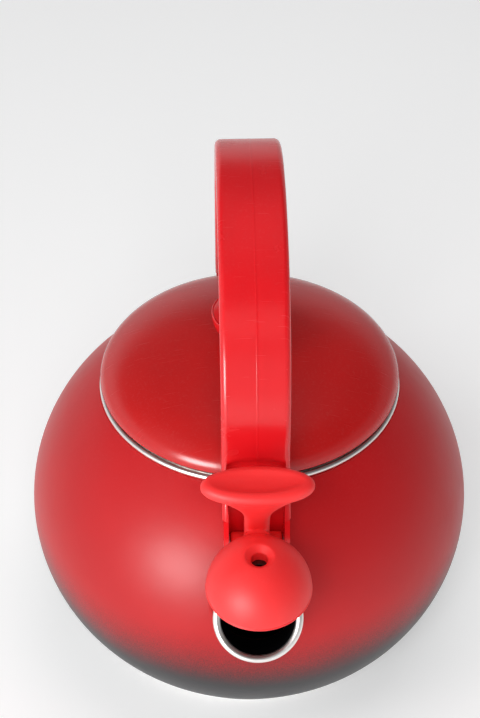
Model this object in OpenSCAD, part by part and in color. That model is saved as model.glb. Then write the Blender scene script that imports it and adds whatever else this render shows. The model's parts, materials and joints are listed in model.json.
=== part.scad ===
// Stovetop whistling kettle with a fixed arch handle, a lift-off lid and a thumb-lever whistle cap.
// Millimetres. The origin is the centre of the underside, +Z is up and the spout points to -Y.

/* [Body] */
// Widest radius of the belly
belly_r = 105; // [102:0.5:108]
// Half of the full height of the belly's oval
belly_half_h = 95; // [93:0.5:97]
// Height of the widest circle above the stove
belly_z = 73; // [71:0.5:75]
// Wall thickness of the steel shell
shell_t = 1; // [0.8:0.1:1.4]

/* [Base] */
// Radius of the capsule under the body
base_r = 72.5; // [70:0.5:73.5]
// Height of the capsule
base_h = 6; // [5:0.5:7]
// Thickness of the steel skin round the aluminium core
base_skin_t = 0.8; // [0.6:0.1:1]

/* [Rim] */
// Radius of the centre of the rolled rim
rim_r = 67.9; // [67.5:0.1:68.3]
// Radius of the roll itself
rim_roll_r = 1.5; // [1.2:0.1:1.6]
// Inner radius of the neck under the rim
neck_r = 63.4; // [63.2:0.1:63.8]
// Depth of the neck
neck_h = 11; // [9:1:14]

/* [Spout] */
// Angle of the spout above level
spout_pitch = 35; // [33:1:37]
// Distance of the mouth's centre in front of the kettle's axis
spout_reach = 119; // [118:0.5:120]
// Height of the mouth's centre
spout_z = 114.5; // [113.5:0.5:115.5]
// Radius of the centre of the mouth's rolled ring
mouth_r = 17.5; // [17:0.1:17.6]
// Radius of the roll of the mouth's ring
mouth_roll_r = 1.7; // [1.5:0.1:1.8]
// Radius of the spout where it meets the body
spout_root_r = 22; // [21:0.5:23]

/* [Handle] */
// Width of the strap
grip_w = 29; // [28:0.5:30]
// Thickness of the strap
grip_t = 11; // [10:0.5:11.5]
// Radius of the rounded edges of the strap
grip_edge_r = 2.7; // [2:0.1:3.5]
// Outer radius of the arch
arch_r = 83; // [82.5:0.5:84]
// Height of the arch's centre
arch_z = 178; // [176:0.5:180]
// Height of the seam between the handle and its feet
seam_z = 149; // [148.5:0.5:150]

/* [Fork] */
// Distance between the cheeks of the fork
fork_gap = 23.6; // [23:0.1:24]
// Width over the cheeks of the fork
fork_w = 28; // [27.6:0.1:28.4]
// Distance of the pivot pin in front of the kettle's axis
pivot_reach = 92.5; // [92:0.5:93.5]
// Height of the pivot pin
pivot_z = 132.5; // [132:0.5:133.5]
// Radius of the pivot pin
pin_r = 1.5; // [1.2:0.1:1.8]

/* [Whistle lever] */
// Angle by which the cap stands open
open_angle = 50; // [44:1:50]
// Radius of the whistle cap
cap_r = 22; // [21.8:0.1:22.4]
// Depth by which the cap's lip passes the mouth when shut
lip_overlap = 3; // [2.5:0.1:3.2]
// Width of the thumb paddle
paddle_w = 47; // [42:1:50]
// Depth of the thumb paddle from front to back
paddle_d = 18; // [15:0.5:19]
// Width of the lever's stalk
stalk_w = 11; // [9:0.5:13]

/* [Lid] */
// Radius of the lid over its rolled edge
lid_r = 68.9; // [68.5:0.1:69.2]
// Height of the lid's dome above its edge
lid_h = 22; // [20:0.5:24]
// Height of the lid's edge above the stove
lid_z = 149.6; // [149.4:0.1:150]
// Radius of the knob
knob_r = 17.2; // [15:0.2:19]
// Height of the knob above the lid
knob_h = 17.4; // [16.5:0.2:19]

/* [Hidden] */
$fn = 96;

// Steps along each curved outline
curve_steps = 30;
// Steps along a leg's outer face
leg_steps = 8;
// Extra length of a cutting tool past the face it cuts
cut_over = 1;
// Radial gap of a turning fit
pin_gap = 0.05;
// Smallest gap between pieces that move past each other
move_gap = 0.4;

// Rim and neck
rim_z = belly_z + belly_half_h * sqrt(1 - pow(rim_r / belly_r, 2));
rim_foot_z = rim_z - rim_roll_r;
neck_t = 0.8;
seat_z = rim_foot_z + neck_t;

// Spout
spout_wall = 1;
spout_len = 40;
spout_out_r = mouth_r + spout_wall / 2;
spout_waist = 8;
sleeve_len = 7;
spout_hole_r = 15.5;

// Handle, feet and the steel strip inside
grip_in_r = arch_r - grip_t;
skin_in = 2.2;
core_t = 2;
core_w = 16;
core_in_r = grip_in_r + skin_in;
tongue_top_z = seam_z + 17;
channel_top_z = arch_z;
channel_floor = 5.5;
foot_reach = 96;
foot_floor = 86;
rear_foot_reach = 90;
rear_ear_reach = 86.5;
ear_r = 8.5;
ramp_z = arch_z - 8;
bracket_in = grip_in_r + 2;
screw_z = seam_z + 9;
screw_r = 2;
screw_head_r = 3.4;
screw_head_t = 2;
grip_screw_tip = core_in_r + 6;
stud_z = seam_z - 6.5;
stud_r = 3;
stud_foot = 70.2;
stud_reach = 79;
bracket_low_z = 119;

// Lever, in distances forward of and above the pivot
hub_r = 5;
washer_t = 0.5;
hub_w = fork_gap - 2 * washer_t - 0.8;
arm_w = 15;
stalk_t = 7.5;
paddle_t = 4.2;
paddle_tilt = 4;
paddle_fwd = 10;
paddle_up = 47;
flare_r = 9;
dish_r = 130;
dish_depth = 1.6;

// Whistle cap, in heights above its lip
cap_skirt_r = 20.2;
cap_bore_r = 19.3;
seal_in_r = 13.5;
cap_step_h = 8;
seal_low_h = lip_overlap + mouth_roll_r + move_gap;
whistle_r = 15.5;
whistle_top_h = 14;
whistle_t = 0.6;
whistle_hole_r = 1.5;
vent_r = 3.5;
dimple_r = 6;
dimple_h = 3.5;

// Lid
lid_t = 1;
hem_r = 0.9;
skirt_r = neck_r - 0.6;
skirt_t = 0.8;
skirt_low_z = seat_z - 8;
bead_w = 2.2;
washer_r = 10;
knob_washer_t = 0.8;
knob_screw_h = 9;
knob_screw_drop = 0.06;
knob_crown_h = 4;

// Points of an oval arc centred at height z0, from angle a0 to angle a1
function oval(rx, rz, z0, a0, a1) =
    [for (i = [0 : curve_steps]) let (a = a0 + (a1 - a0) * i / curve_steps) [rx * cos(a), z0 + rz * sin(a)]];

// Outline of a leg's outer face, from the arch down to the seam, as [reach, height]
function leg_face(reach) =
    [for (i = [0 : leg_steps])
        let (s = i / leg_steps)
            [arch_r + (reach - arch_r) * s * s, arch_z - (arch_z - seam_z) * s]];

// Inner face of a leg, from the seam up to the arch
function leg_inside() = [[bracket_in, seam_z], [grip_in_r, seam_z + 4], [grip_in_r, arch_z]];

// Points of an outline with the reach counted towards the spout
function forward(points) = [for (p = points) [-p[0], p[1]]];

// Angle at which an oval of half height rz, centred at z0, reaches height z
function oval_angle(rz, z0, z) = asin((z - z0) / rz);

// Flat plate of the given width across the kettle, from a side outline in [y, z]
module side_plate(width) {
    rotate([90, 0, 90])
        linear_extrude(width, center = true)
            children();
}

// Rod along the kettle's length, from reach y0 to reach y1 in front of the axis
module front_rod(r, y0, y1, z) {
    translate([0, -y0, z])
        rotate([90, 0, 0])
            cylinder(r = r, h = y1 - y0);
}

// Ring or disc with a round bore
module ring(r_out, r_in, h) {
    difference() {
        cylinder(r = r_out, h = h);
        translate([0, 0, -cut_over])
            cylinder(r = r_in, h = h + 2 * cut_over);
    }
}

// Roll of round wire with its centre circle at radius r
module roll(r, wire_r) {
    rotate_extrude()
        translate([r, 0])
            circle(r = wire_r, $fn = 32);
}

// Moves a piece drawn along +Z onto the spout's axis, with its zero at the mouth's centre
module on_spout() {
    translate([0, -spout_reach, spout_z])
        rotate([90 - spout_pitch, 0, 0])
            children();
}

// Swings a piece from the shut pose to the open pose about the pivot
module swung_open() {
    translate([0, -pivot_reach, pivot_z])
        rotate([-open_angle, 0, 0])
            translate([0, pivot_reach, -pivot_z])
                children();
}

// Places a whistle piece, drawn upwards from the cap's lip, in the open pose
module in_cap() {
    swung_open()
        on_spout()
            translate([0, 0, -lip_overlap])
                children();
}

// Outer volume of the belly, used to seat the feet and the spout on it
module belly_solid() {
    rotate_extrude()
        polygon(concat([[0, base_h]],
                       oval(belly_r, belly_half_h, belly_z,
                            oval_angle(belly_half_h, belly_z, base_h),
                            oval_angle(belly_half_h, belly_z, rim_foot_z)),
                       [[0, rim_foot_z]]));
}

module body_shell() {
    in_r = belly_r - shell_t;
    in_h = belly_half_h - shell_t;
    color("firebrick")
        difference() {
            rotate_extrude()
                polygon(concat([[0, base_h]],
                               oval(belly_r, belly_half_h, belly_z,
                                    oval_angle(belly_half_h, belly_z, base_h),
                                    oval_angle(belly_half_h, belly_z, rim_foot_z)),
                               oval(in_r, in_h, belly_z,
                                    oval_angle(in_h, belly_z, rim_foot_z),
                                    oval_angle(in_h, belly_z, base_h + shell_t)),
                               [[0, base_h + shell_t]]));
            on_spout()
                translate([0, 0, -spout_len])
                    cylinder(r = spout_hole_r, h = spout_len);
        }
}

module rim_ring() {
    color("silver")
        translate([0, 0, rim_z])
            union() {
                roll(rim_r, rim_roll_r);
                translate([0, 0, -rim_roll_r])
                    ring(rim_r, neck_r, neck_t);
                translate([0, 0, -rim_roll_r - neck_h])
                    ring(neck_r + neck_t, neck_r, neck_h + neck_t);
            }
}

module base_core() {
    color("lightgray")
        translate([0, 0, base_skin_t])
            cylinder(r = base_r - base_skin_t, h = base_h - base_skin_t);
}

module base_cover() {
    color("silver")
        difference() {
            cylinder(r = base_r, h = base_h);
            translate([0, 0, base_skin_t])
                cylinder(r = base_r - base_skin_t, h = base_h);
        }
}

// Outline of the spout's wall from its root to its mouth, as radius against height
module spout_outline() {
    polygon([[spout_out_r - spout_wall, 0],
             [spout_out_r, 0],
             [spout_out_r, -spout_waist],
             [spout_root_r, -spout_len],
             [spout_root_r - spout_wall, -spout_len],
             [spout_out_r - spout_wall, -spout_waist]]);
}

module spout_tube() {
    color("firebrick")
        difference() {
            on_spout()
                translate([0, 0, -mouth_roll_r / 2])
                    rotate_extrude()
                        spout_outline();
            belly_solid();
        }
}

module spout_ring() {
    color("silver")
        on_spout()
            difference() {
                union() {
                    roll(mouth_r, mouth_roll_r);
                    translate([0, 0, -sleeve_len])
                        ring(spout_out_r - spout_wall, mouth_r - mouth_roll_r, sleeve_len);
                }
                translate([0, 0, -mouth_roll_r / 2])
                    rotate_extrude()
                        spout_outline();
            }
}

// Stud at the front, or with side = -1 at the rear
module stud(side) {
    difference() {
        mirror([0, side < 0 ? 1 : 0, 0])
            front_rod(stud_r, stud_foot, stud_reach, stud_z);
        belly_solid();
        mirror([0, side < 0 ? 1 : 0, 0])
            front_rod(screw_r, bracket_in, stud_reach + cut_over, stud_z);
    }
}

module body_studs() {
    color("silver")
        for (side = [1, -1])
            stud(side);
}

module front_bracket() {
    color("crimson")
        difference() {
            union() {
                side_plate(fork_w) {
                    polygon([[-bracket_in, seam_z],
                             [-foot_reach, seam_z],
                             [-pivot_reach - ear_r, pivot_z + 2],
                             [-pivot_reach, pivot_z],
                             [-pivot_reach - 1, pivot_z - ear_r],
                             [-bracket_in - ear_r, bracket_low_z],
                             [-bracket_in, bracket_low_z]]);
                    translate([-pivot_reach, pivot_z])
                        circle(r = ear_r);
                }
                side_plate(core_w)
                    translate([-core_in_r - 2 * core_t, seam_z - cut_over])
                        square([core_t, tongue_top_z - seam_z + cut_over]);
            }
            translate([-fork_gap / 2, -pivot_reach - hub_r * 2, bracket_low_z - cut_over])
                cube([fork_gap, pivot_reach + hub_r * 2 - foot_floor, seam_z - bracket_low_z + 2 * cut_over]);
            belly_solid();
            front_rod(stud_r, 0, stud_reach, stud_z);
            front_rod(screw_r, 0, foot_floor + cut_over, stud_z);
            front_rod(screw_head_r, foot_floor - screw_head_t, foot_floor + cut_over, stud_z);
            front_rod(screw_r, 0, foot_floor, screw_z);
            translate([-fork_w, -pivot_reach, pivot_z])
                rotate([0, 90, 0])
                    cylinder(r = pin_r, h = 2 * fork_w);
        }
}

module rear_bracket() {
    color("crimson")
        difference() {
            union() {
                side_plate(fork_w) {
                    polygon([[bracket_in, seam_z],
                             [rear_foot_reach, seam_z],
                             [rear_ear_reach + ear_r, pivot_z + 2],
                             [rear_ear_reach, pivot_z],
                             [rear_ear_reach + 1, pivot_z - ear_r],
                             [bracket_in + ear_r, bracket_low_z],
                             [bracket_in, bracket_low_z]]);
                    translate([rear_ear_reach, pivot_z])
                        circle(r = ear_r);
                }
                side_plate(core_w)
                    translate([core_in_r + core_t, seam_z - cut_over])
                        square([core_t, tongue_top_z - seam_z + cut_over]);
            }
            belly_solid();
            mirror([0, 1, 0]) {
                front_rod(stud_r, 0, stud_reach, stud_z);
                front_rod(screw_r, 0, foot_floor + cut_over, stud_z);
                front_rod(screw_head_r, foot_floor - screw_head_t, foot_reach + cut_over, stud_z);
                front_rod(screw_r, 0, foot_floor, screw_z);
            }
        }
}

// Screw along the kettle's length with its head's outer face at reach y, its tip inside the kettle
module inward_screw(y, length, z) {
    front_rod(screw_head_r, y - screw_head_t, y, z);
    front_rod(screw_r, y - length, y - screw_head_t, z);
}

module bracket_screws() {
    color("silver") {
        inward_screw(foot_floor, foot_floor - bracket_in, stud_z);
        mirror([0, 1, 0])
            inward_screw(foot_floor, foot_floor - bracket_in, stud_z);
    }
}

// Screw from the inner face of a handle leg outwards
module outward_screw() {
    front_rod(screw_head_r, grip_in_r, core_in_r, screw_z);
    front_rod(screw_r, core_in_r, grip_screw_tip, screw_z);
}

module handle_screws() {
    color("silver") {
        outward_screw();
        mirror([0, 1, 0])
            outward_screw();
    }
}

// Half ring over the top of the arch, from a cross-section in radius and width
module arch() {
    translate([0, 0, arch_z])
        rotate([90, 0, 90])
            rotate_extrude(angle = 180)
                children();
}

// Cross-section of the strap with rounded edges
module strap_section() {
    in_w = grip_w / 2 - grip_edge_r;
    translate([grip_in_r, -in_w])
        square([grip_t, 2 * in_w]);
    translate([grip_in_r + grip_edge_r, -grip_w / 2])
        square([grip_t - 2 * grip_edge_r, grip_w]);
    for (x = [grip_in_r + grip_edge_r, arch_r - grip_edge_r])
        for (y = [-in_w, in_w])
            translate([x, y])
                circle(r = grip_edge_r, $fn = 32);
}

// Steel strip's full run over the arch and down both legs
module core_run() {
    arch()
        translate([core_in_r, -core_w / 2])
            square([core_t, core_w]);
    side_plate(core_w)
        for (y = [-core_in_r - core_t, core_in_r])
            translate([y, seam_z + 1])
                square([core_t, arch_z - seam_z - 1]);
}

module handle_core() {
    color("silver")
        difference() {
            core_run();
            for (side = [0, 1])
                mirror([0, side, 0])
                    front_rod(screw_r, 0, arch_r, screw_z);
        }
}

module handle_grip() {
    color("red")
        difference() {
            union() {
                arch()
                    strap_section();
                side_plate(grip_w) {
                    polygon(concat(forward(leg_face(foot_reach)), forward(leg_inside())));
                    polygon(concat(leg_face(rear_foot_reach), leg_inside()));
                }
            }
            side_plate(fork_gap)
                polygon([[-arch_r - cut_over, channel_top_z],
                         [-arch_r + channel_floor, ramp_z],
                         [-foot_floor + 1, seam_z - cut_over],
                         [-foot_reach - cut_over, seam_z - cut_over],
                         [-foot_reach - cut_over, channel_top_z]]);
            core_run();
            side_plate(core_w)
                for (y = [-core_in_r - 2 * core_t, core_in_r + core_t])
                    translate([y, seam_z - cut_over])
                        square([core_t, tongue_top_z - seam_z + cut_over]);
            for (side = [0, 1])
                mirror([0, side, 0]) {
                    front_rod(screw_r, grip_in_r, grip_screw_tip, screw_z);
                    front_rod(screw_head_r, 0, core_in_r, screw_z);
                }
        }
}

module pivot_pin() {
    color("silver")
        translate([-fork_w / 2, -pivot_reach, pivot_z])
            rotate([0, 90, 0])
                cylinder(r = pin_r, h = fork_w);
}

module pivot_washers() {
    color("silver")
        for (x = [-fork_gap / 2, fork_gap / 2 - washer_t])
            translate([x, -pivot_reach, pivot_z])
                rotate([0, 90, 0])
                    ring(hub_r - 1, pin_r, washer_t);
}

// Front outline of the lever, as width against height above the pivot
module lever_front() {
    half = stalk_w / 2;
    top = paddle_up - paddle_t;
    polygon(concat([[-arm_w / 2, -hub_r],
                    [-arm_w / 2, 2 * hub_r],
                    [-half, 3 * hub_r]],
                   [for (a = [0 : 10 : 80]) [-half - flare_r * (1 - cos(a)), top - flare_r * (1 - sin(a))]],
                   [[-half - 2 * flare_r, top],
                    [-half - 2 * flare_r, top + paddle_t / 2],
                    [half + 2 * flare_r, top + paddle_t / 2],
                    [half + 2 * flare_r, top]],
                   [for (a = [80 : -10 : 0]) [half + flare_r * (1 - cos(a)), top - flare_r * (1 - sin(a))]],
                   [[half, 3 * hub_r],
                    [arm_w / 2, 2 * hub_r],
                    [arm_w / 2, -hub_r]]));
}

// Side outline of the stalk and of the arm that carries the cap
module lever_side() {
    polygon([[hub_r - 0.5, 2],
             [2, 3 * hub_r],
             [-paddle_fwd + stalk_t / 2 + 1, paddle_up - paddle_t],
             [-paddle_fwd + 2, paddle_up - paddle_t / 2],
             [-paddle_fwd - 4, paddle_up - paddle_t / 2 - 1],
             [-paddle_fwd - stalk_t / 2, paddle_up - 2 * paddle_t],
             [-paddle_fwd - 5, 4 * hub_r],
             [-paddle_fwd - 5, 2 * hub_r],
             [-8, 7],
             [-hub_r + 1, -2.5]]);
}

module paddle() {
    translate([0, -paddle_fwd, paddle_up])
        rotate([paddle_tilt, 0, 0])
            difference() {
                translate([0, 0, -paddle_t])
                    linear_extrude(paddle_t)
                        polygon([for (a = [0 : 7.5 : 352.5]) [paddle_w / 2 * cos(a), paddle_d / 2 * sin(a)]]);
                translate([0, 0, dish_r - dish_depth])
                    sphere(r = dish_r);
            }
}

module thumb_lever() {
    color("red")
        difference() {
            translate([0, -pivot_reach, pivot_z])
                difference() {
                    union() {
                        intersection() {
                            side_plate(paddle_w)
                                lever_side();
                            rotate([90, 0, 0])
                                linear_extrude(2 * paddle_up, center = true)
                                    lever_front();
                        }
                        paddle();
                        translate([-hub_w / 2, 0, 0])
                            rotate([0, 90, 0])
                                cylinder(r = hub_r, h = hub_w);
                    }
                    translate([-hub_w, 0, 0])
                        rotate([0, 90, 0])
                            cylinder(r = pin_r + pin_gap, h = 2 * hub_w);
                }
            in_cap()
                sphere(r = cap_r);
        }
}

module whistle_cap() {
    color("red")
        in_cap()
            difference() {
                intersection() {
                    sphere(r = cap_r);
                    cylinder(r = cap_r + cut_over, h = cap_r);
                }
                translate([0, 0, -cut_over])
                    cylinder(r = cap_skirt_r, h = seal_low_h + cut_over);
                cylinder(r = cap_bore_r, h = cap_step_h);
                cylinder(r = whistle_r, h = whistle_top_h);
                cylinder(r = vent_r, h = cap_r + cut_over);
                translate([0, 0, cap_r - dimple_h])
                    cylinder(r1 = vent_r, r2 = dimple_r, h = dimple_h);
            }
}

module whistle_seal() {
    color("dimgray")
        in_cap()
            translate([0, 0, seal_low_h])
                ring(cap_bore_r, seal_in_r, cap_step_h - seal_low_h);
}

module whistle_disc() {
    color("silver")
        in_cap()
            translate([0, 0, cap_step_h])
                ring(whistle_r, whistle_hole_r, whistle_t);
}

module whistle_cup() {
    wall_h = whistle_top_h - cap_step_h - whistle_t;
    color("silver")
        in_cap()
            translate([0, 0, cap_step_h + whistle_t])
                difference() {
                    ring(whistle_r, whistle_hole_r, wall_h);
                    translate([0, 0, -cut_over])
                        cylinder(r = whistle_r - whistle_t, h = wall_h - whistle_t + cut_over);
                }
}

// Volume under the lid's outer or, with a thickness, its inner face
module lid_solid(t) {
    rotate_extrude()
        polygon(concat([[0, lid_z]],
                       oval(lid_r - t, lid_h - t, lid_z, 0, 90)));
}

module lid_shell() {
    color("firebrick")
        difference() {
            union() {
                lid_solid(0);
                translate([0, 0, lid_z])
                    roll(lid_r - hem_r, hem_r);
            }
            difference() {
                lid_solid(lid_t);
                translate([0, 0, lid_z])
                    roll(lid_r - hem_r, hem_r);
            }
            cylinder(r = screw_r, h = lid_z + lid_h + cut_over);
        }
}

module lid_skirt() {
    color("silver")
        intersection() {
            union() {
                translate([0, 0, skirt_low_z])
                    ring(skirt_r, skirt_r - skirt_t, lid_z + lid_h - skirt_low_z);
                translate([0, 0, seat_z + move_gap])
                    ring(skirt_r + bead_w, skirt_r - skirt_t, skirt_t);
            }
            union() {
                lid_solid(lid_t);
                cylinder(r = lid_r, h = lid_z);
            }
        }
}

module lid_knob() {
    base_z = lid_z + lid_h + knob_washer_t;
    mid_z = base_z + knob_h - knob_crown_h - knob_washer_t;
    crown_r = (knob_r * knob_r + knob_crown_h * knob_crown_h) / (2 * knob_crown_h);
    color("red")
        difference() {
            union() {
                intersection() {
                    translate([0, 0, mid_z])
                        sphere(r = knob_r);
                    translate([0, 0, base_z])
                        cylinder(r = knob_r, h = mid_z - base_z);
                }
                intersection() {
                    translate([0, 0, mid_z + knob_crown_h - crown_r])
                        sphere(r = crown_r);
                    translate([0, 0, mid_z])
                        cylinder(r = knob_r, h = knob_h);
                }
            }
            translate([0, 0, base_z - cut_over])
                cylinder(r = screw_r, h = knob_screw_h + cut_over);
        }
}

module knob_washer() {
    color("silver")
        translate([0, 0, lid_z + lid_h])
            ring(washer_r, screw_r, knob_washer_t);
}

module knob_screw() {
    head_z = lid_z + lid_h - lid_t - knob_screw_drop;
    color("silver") {
        translate([0, 0, head_z - screw_head_t])
            cylinder(r = 2 * screw_r, h = screw_head_t);
        translate([0, 0, head_z])
            cylinder(r = screw_r, h = lid_t + knob_washer_t + knob_screw_h);
    }
}

body_shell();
rim_ring();
base_core();
base_cover();
spout_tube();
spout_ring();
body_studs();
front_bracket();
rear_bracket();
bracket_screws();
handle_grip();
handle_core();
handle_screws();
pivot_pin();
pivot_washers();
thumb_lever();
whistle_cap();
whistle_seal();
whistle_disc();
whistle_cup();
lid_shell();
lid_skirt();
lid_knob();
knob_washer();
knob_screw();
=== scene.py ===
"""Looks of a stovetop whistling kettle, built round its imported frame.

Each sub-assembly is a class that holds its sizes and makes its own pieces. Surfaces are grids
worked out from a profile or a path with numpy. Each finish is a small dataclass that makes one
procedural material from shared shader groups. Lengths are in metres, in the frame's own axes:
+Z is up and the spout points to -Y.
"""

import json
import logging
import math
from dataclasses import dataclass, field
from enum import Enum

import bmesh
import bpy
import numpy as np
from mathutils import Matrix, Vector

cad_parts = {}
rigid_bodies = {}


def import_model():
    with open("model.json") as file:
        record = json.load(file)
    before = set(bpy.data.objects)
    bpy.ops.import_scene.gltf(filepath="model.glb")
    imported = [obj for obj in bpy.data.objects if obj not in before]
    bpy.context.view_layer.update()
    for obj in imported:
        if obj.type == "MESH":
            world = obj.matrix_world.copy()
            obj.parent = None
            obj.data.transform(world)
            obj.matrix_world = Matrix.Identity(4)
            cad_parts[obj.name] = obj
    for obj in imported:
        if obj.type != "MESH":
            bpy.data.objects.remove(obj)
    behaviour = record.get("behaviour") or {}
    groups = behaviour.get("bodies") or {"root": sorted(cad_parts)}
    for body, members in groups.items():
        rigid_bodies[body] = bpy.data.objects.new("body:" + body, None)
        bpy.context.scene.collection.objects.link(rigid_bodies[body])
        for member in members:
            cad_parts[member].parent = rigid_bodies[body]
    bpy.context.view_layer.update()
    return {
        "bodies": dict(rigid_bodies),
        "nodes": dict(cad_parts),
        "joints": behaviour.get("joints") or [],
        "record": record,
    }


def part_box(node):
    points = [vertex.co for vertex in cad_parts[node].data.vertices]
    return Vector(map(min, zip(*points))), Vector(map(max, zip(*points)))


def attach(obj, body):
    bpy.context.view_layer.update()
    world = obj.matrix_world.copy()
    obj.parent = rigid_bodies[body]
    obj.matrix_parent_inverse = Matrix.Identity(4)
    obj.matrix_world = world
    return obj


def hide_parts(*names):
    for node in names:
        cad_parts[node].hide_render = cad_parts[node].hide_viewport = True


log = logging.getLogger("kettle")

MM = 0.001
SHARP = 38.0

Colour = tuple[float, float, float]
Feed = bpy.types.NodeSocket | float | tuple[float, ...]


class Reach(Enum):
    """What a studio light acts on."""

    DIFFUSE = "diffuse"
    SHEEN = "sheen"


class Body(Enum):
    """Bodies of the frame that pieces ride on."""

    KETTLE = "kettle"
    LEVER = "whistle_lever"
    LID = "lid"


class Slot(Enum):
    """Material slots of the record."""

    BODY = "body_paint"
    LID = "lid_paint"
    BRIGHT = "bright_steel"
    BASE = "base_steel"
    STRIP = "strip_steel"
    FASTENER = "fastener_steel"
    CORE = "aluminium_core"
    GRIP = "grip_plastic"
    KNOB = "knob_plastic"
    LEVER = "lever_plastic"
    SEAL = "seal_rubber"


# ---------------------------------------------------------------------------
# Outlines and grids
# ---------------------------------------------------------------------------


def arc(centre: tuple[float, float], radius: float, start: float, end: float, steps: int = 8) -> np.ndarray:
    """Points of a circular arc: centre plus radius times (cos a, sin a), a running evenly in degrees.

    Args:
        centre: Middle of the circle, as (r, z).
        radius: Radius of the circle.
        start: First angle in degrees.
        end: Last angle in degrees.
        steps: Number of stretches.

    Returns:
        An array of steps + 1 points.
    """
    a = np.radians(np.linspace(start, end, steps + 1))
    return np.stack([centre[0] + radius * np.cos(a), centre[1] + radius * np.sin(a)], axis=1)


def oval(rx: float, rz: float, z0: float, low: float, high: float, steps: int) -> np.ndarray:
    """Points of an oval's right half: (rx cos a, z0 + rz sin a), a running from height low to height high.

    Args:
        rx: Half width of the oval.
        rz: Half height of the oval.
        z0: Height of its centre.
        low: Height of the first point.
        high: Height of the last point.
        steps: Number of stretches.

    Returns:
        An array of steps + 1 points.
    """
    ends = np.arcsin(np.clip((np.array([low, high]) - z0) / rz, -1.0, 1.0))
    a = np.linspace(ends[0], ends[1], steps + 1)
    return np.stack([rx * np.cos(a), z0 + rz * np.sin(a)], axis=1)


def rounded(corners: list[tuple[float, float, float]], steps: int = 6, closed: bool = False) -> np.ndarray:
    """Polyline through corners, each turned by a tangent arc of its own radius.

    The arc starts and ends at radius times the tangent of half the turn from the corner, and its
    points lie on a quadratic blend of the two edges, which keeps it tangent to both.

    Args:
        corners: (x, y, radius) for each corner; a radius of 0 keeps it sharp.
        steps: Stretches in each arc.
        closed: Whether the last corner joins the first.

    Returns:
        The points of the outline.
    """
    pts = np.array([c[:2] for c in corners], float)
    count = len(pts)
    parts = []
    t = np.linspace(0.0, 1.0, steps + 1)[:, None]
    for i, (_, _, radius) in enumerate(corners):
        here = pts[i]
        if radius <= 0 or (not closed and i in (0, count - 1)):
            parts.append(here[None])
            continue
        back, ahead = pts[i - 1] - here, pts[(i + 1) % count] - here
        lb, la = np.linalg.norm(back), np.linalg.norm(ahead)
        turn = math.pi - math.acos(float(np.clip(back @ ahead / (lb * la), -1.0, 1.0)))
        cut = min(radius * math.tan(turn / 2), 0.49 * lb, 0.49 * la)
        p0, p2 = here + back / lb * cut, here + ahead / la * cut
        parts.append((1 - t) ** 2 * p0 + 2 * t * (1 - t) * here + t**2 * p2)
    return np.concatenate(parts)


def revolve(profile: np.ndarray, columns: int) -> np.ndarray:
    """Grid of a profile turned about Z: (r cos u, r sin u, z) for u over a full turn.

    Args:
        profile: Points (r, z).
        columns: Number of columns round the turn.

    Returns:
        An array (rows, columns, 3).
    """
    u = np.linspace(0.0, 2 * math.pi, columns, endpoint=False)
    r, z = profile[:, 0, None], profile[:, 1, None]
    return np.stack([r * np.cos(u), r * np.sin(u), np.broadcast_to(z, (len(profile), columns))], axis=2)


@dataclass
class Grid:
    """One sheet of a surface.

    Attributes:
        points: Array (rows, columns, 3).
        wrap_rows: Whether the last row joins the first.
        wrap_columns: Whether the last column joins the first.
        slots: Material index of each row of faces, or None for 0 everywhere.
    """

    points: np.ndarray
    wrap_rows: bool = False
    wrap_columns: bool = True
    slots: np.ndarray | None = None

    def faces(self, offset: int) -> np.ndarray:
        """Quads of the grid, counted from a vertex offset.

        Args:
            offset: Index of the grid's first vertex.

        Returns:
            An array (faces, 4) of vertex indices.
        """
        i, j = self._cells()
        rows, columns = self.points.shape[:2]
        down, right = (i + 1) % rows, (j + 1) % columns
        quads = [i * columns + j, i * columns + right, down * columns + right, down * columns + j]
        return np.stack(quads, axis=-1).reshape(-1, 4) + offset

    def uv(self) -> np.ndarray:
        """Corner coordinates: u along the columns and v along the rows, both from 0 to 1.

        Returns:
            An array (faces * 4, 2).
        """
        i, j = self._cells()
        rows, columns = self.points.shape[:2]
        u = np.stack([j, j + 1, j + 1, j], axis=-1) / columns
        v = np.stack([i, i, i + 1, i + 1], axis=-1) / rows
        return np.stack([u, v], axis=-1).reshape(-1, 2)

    def face_slots(self) -> np.ndarray:
        """Material index of every face.

        Returns:
            An array (faces,).
        """
        i, _ = self._cells()
        if self.slots is None:
            return np.zeros(i.size, np.int32)
        return np.asarray(self.slots, np.int32)[i.ravel()]

    def _cells(self) -> tuple[np.ndarray, np.ndarray]:
        """Row and column index of every face."""
        rows, columns = self.points.shape[:2]
        return np.meshgrid(
            np.arange(rows if self.wrap_rows else rows - 1),
            np.arange(columns if self.wrap_columns else columns - 1),
            indexing="ij",
        )


def turned(
    profile: np.ndarray, columns: int = 128, closed: bool = True, slots: np.ndarray | None = None
) -> Grid:
    """Grid of a profile turned about Z.

    Args:
        profile: Points (r, z); an open profile starts and ends on the axis.
        columns: Columns round the turn.
        closed: Whether the profile is a loop.
        slots: Material index of each stretch of the profile.

    Returns:
        The grid.
    """
    return Grid(revolve(profile, columns), wrap_rows=closed, slots=slots)


def rod(radius: float, low: float, high: float, columns: int) -> Grid:
    """Plain closed rod about Z.

    Args:
        radius: Radius of the rod.
        low: Height of its lower end.
        high: Height of its upper end.
        columns: Columns round the turn.

    Returns:
        The grid.
    """
    return turned(np.array([[0, low], [radius, low], [radius, high], [0, high]]), columns, closed=False)


def smoothstep(t: np.ndarray | float) -> np.ndarray | float:
    """Smooth step: three t squared less two t cubed, which leaves 0 and reaches 1 without a kink.

    Args:
        t: Share from 0 to 1.

    Returns:
        The eased share.
    """
    return t * t * (3 - 2 * t)


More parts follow.
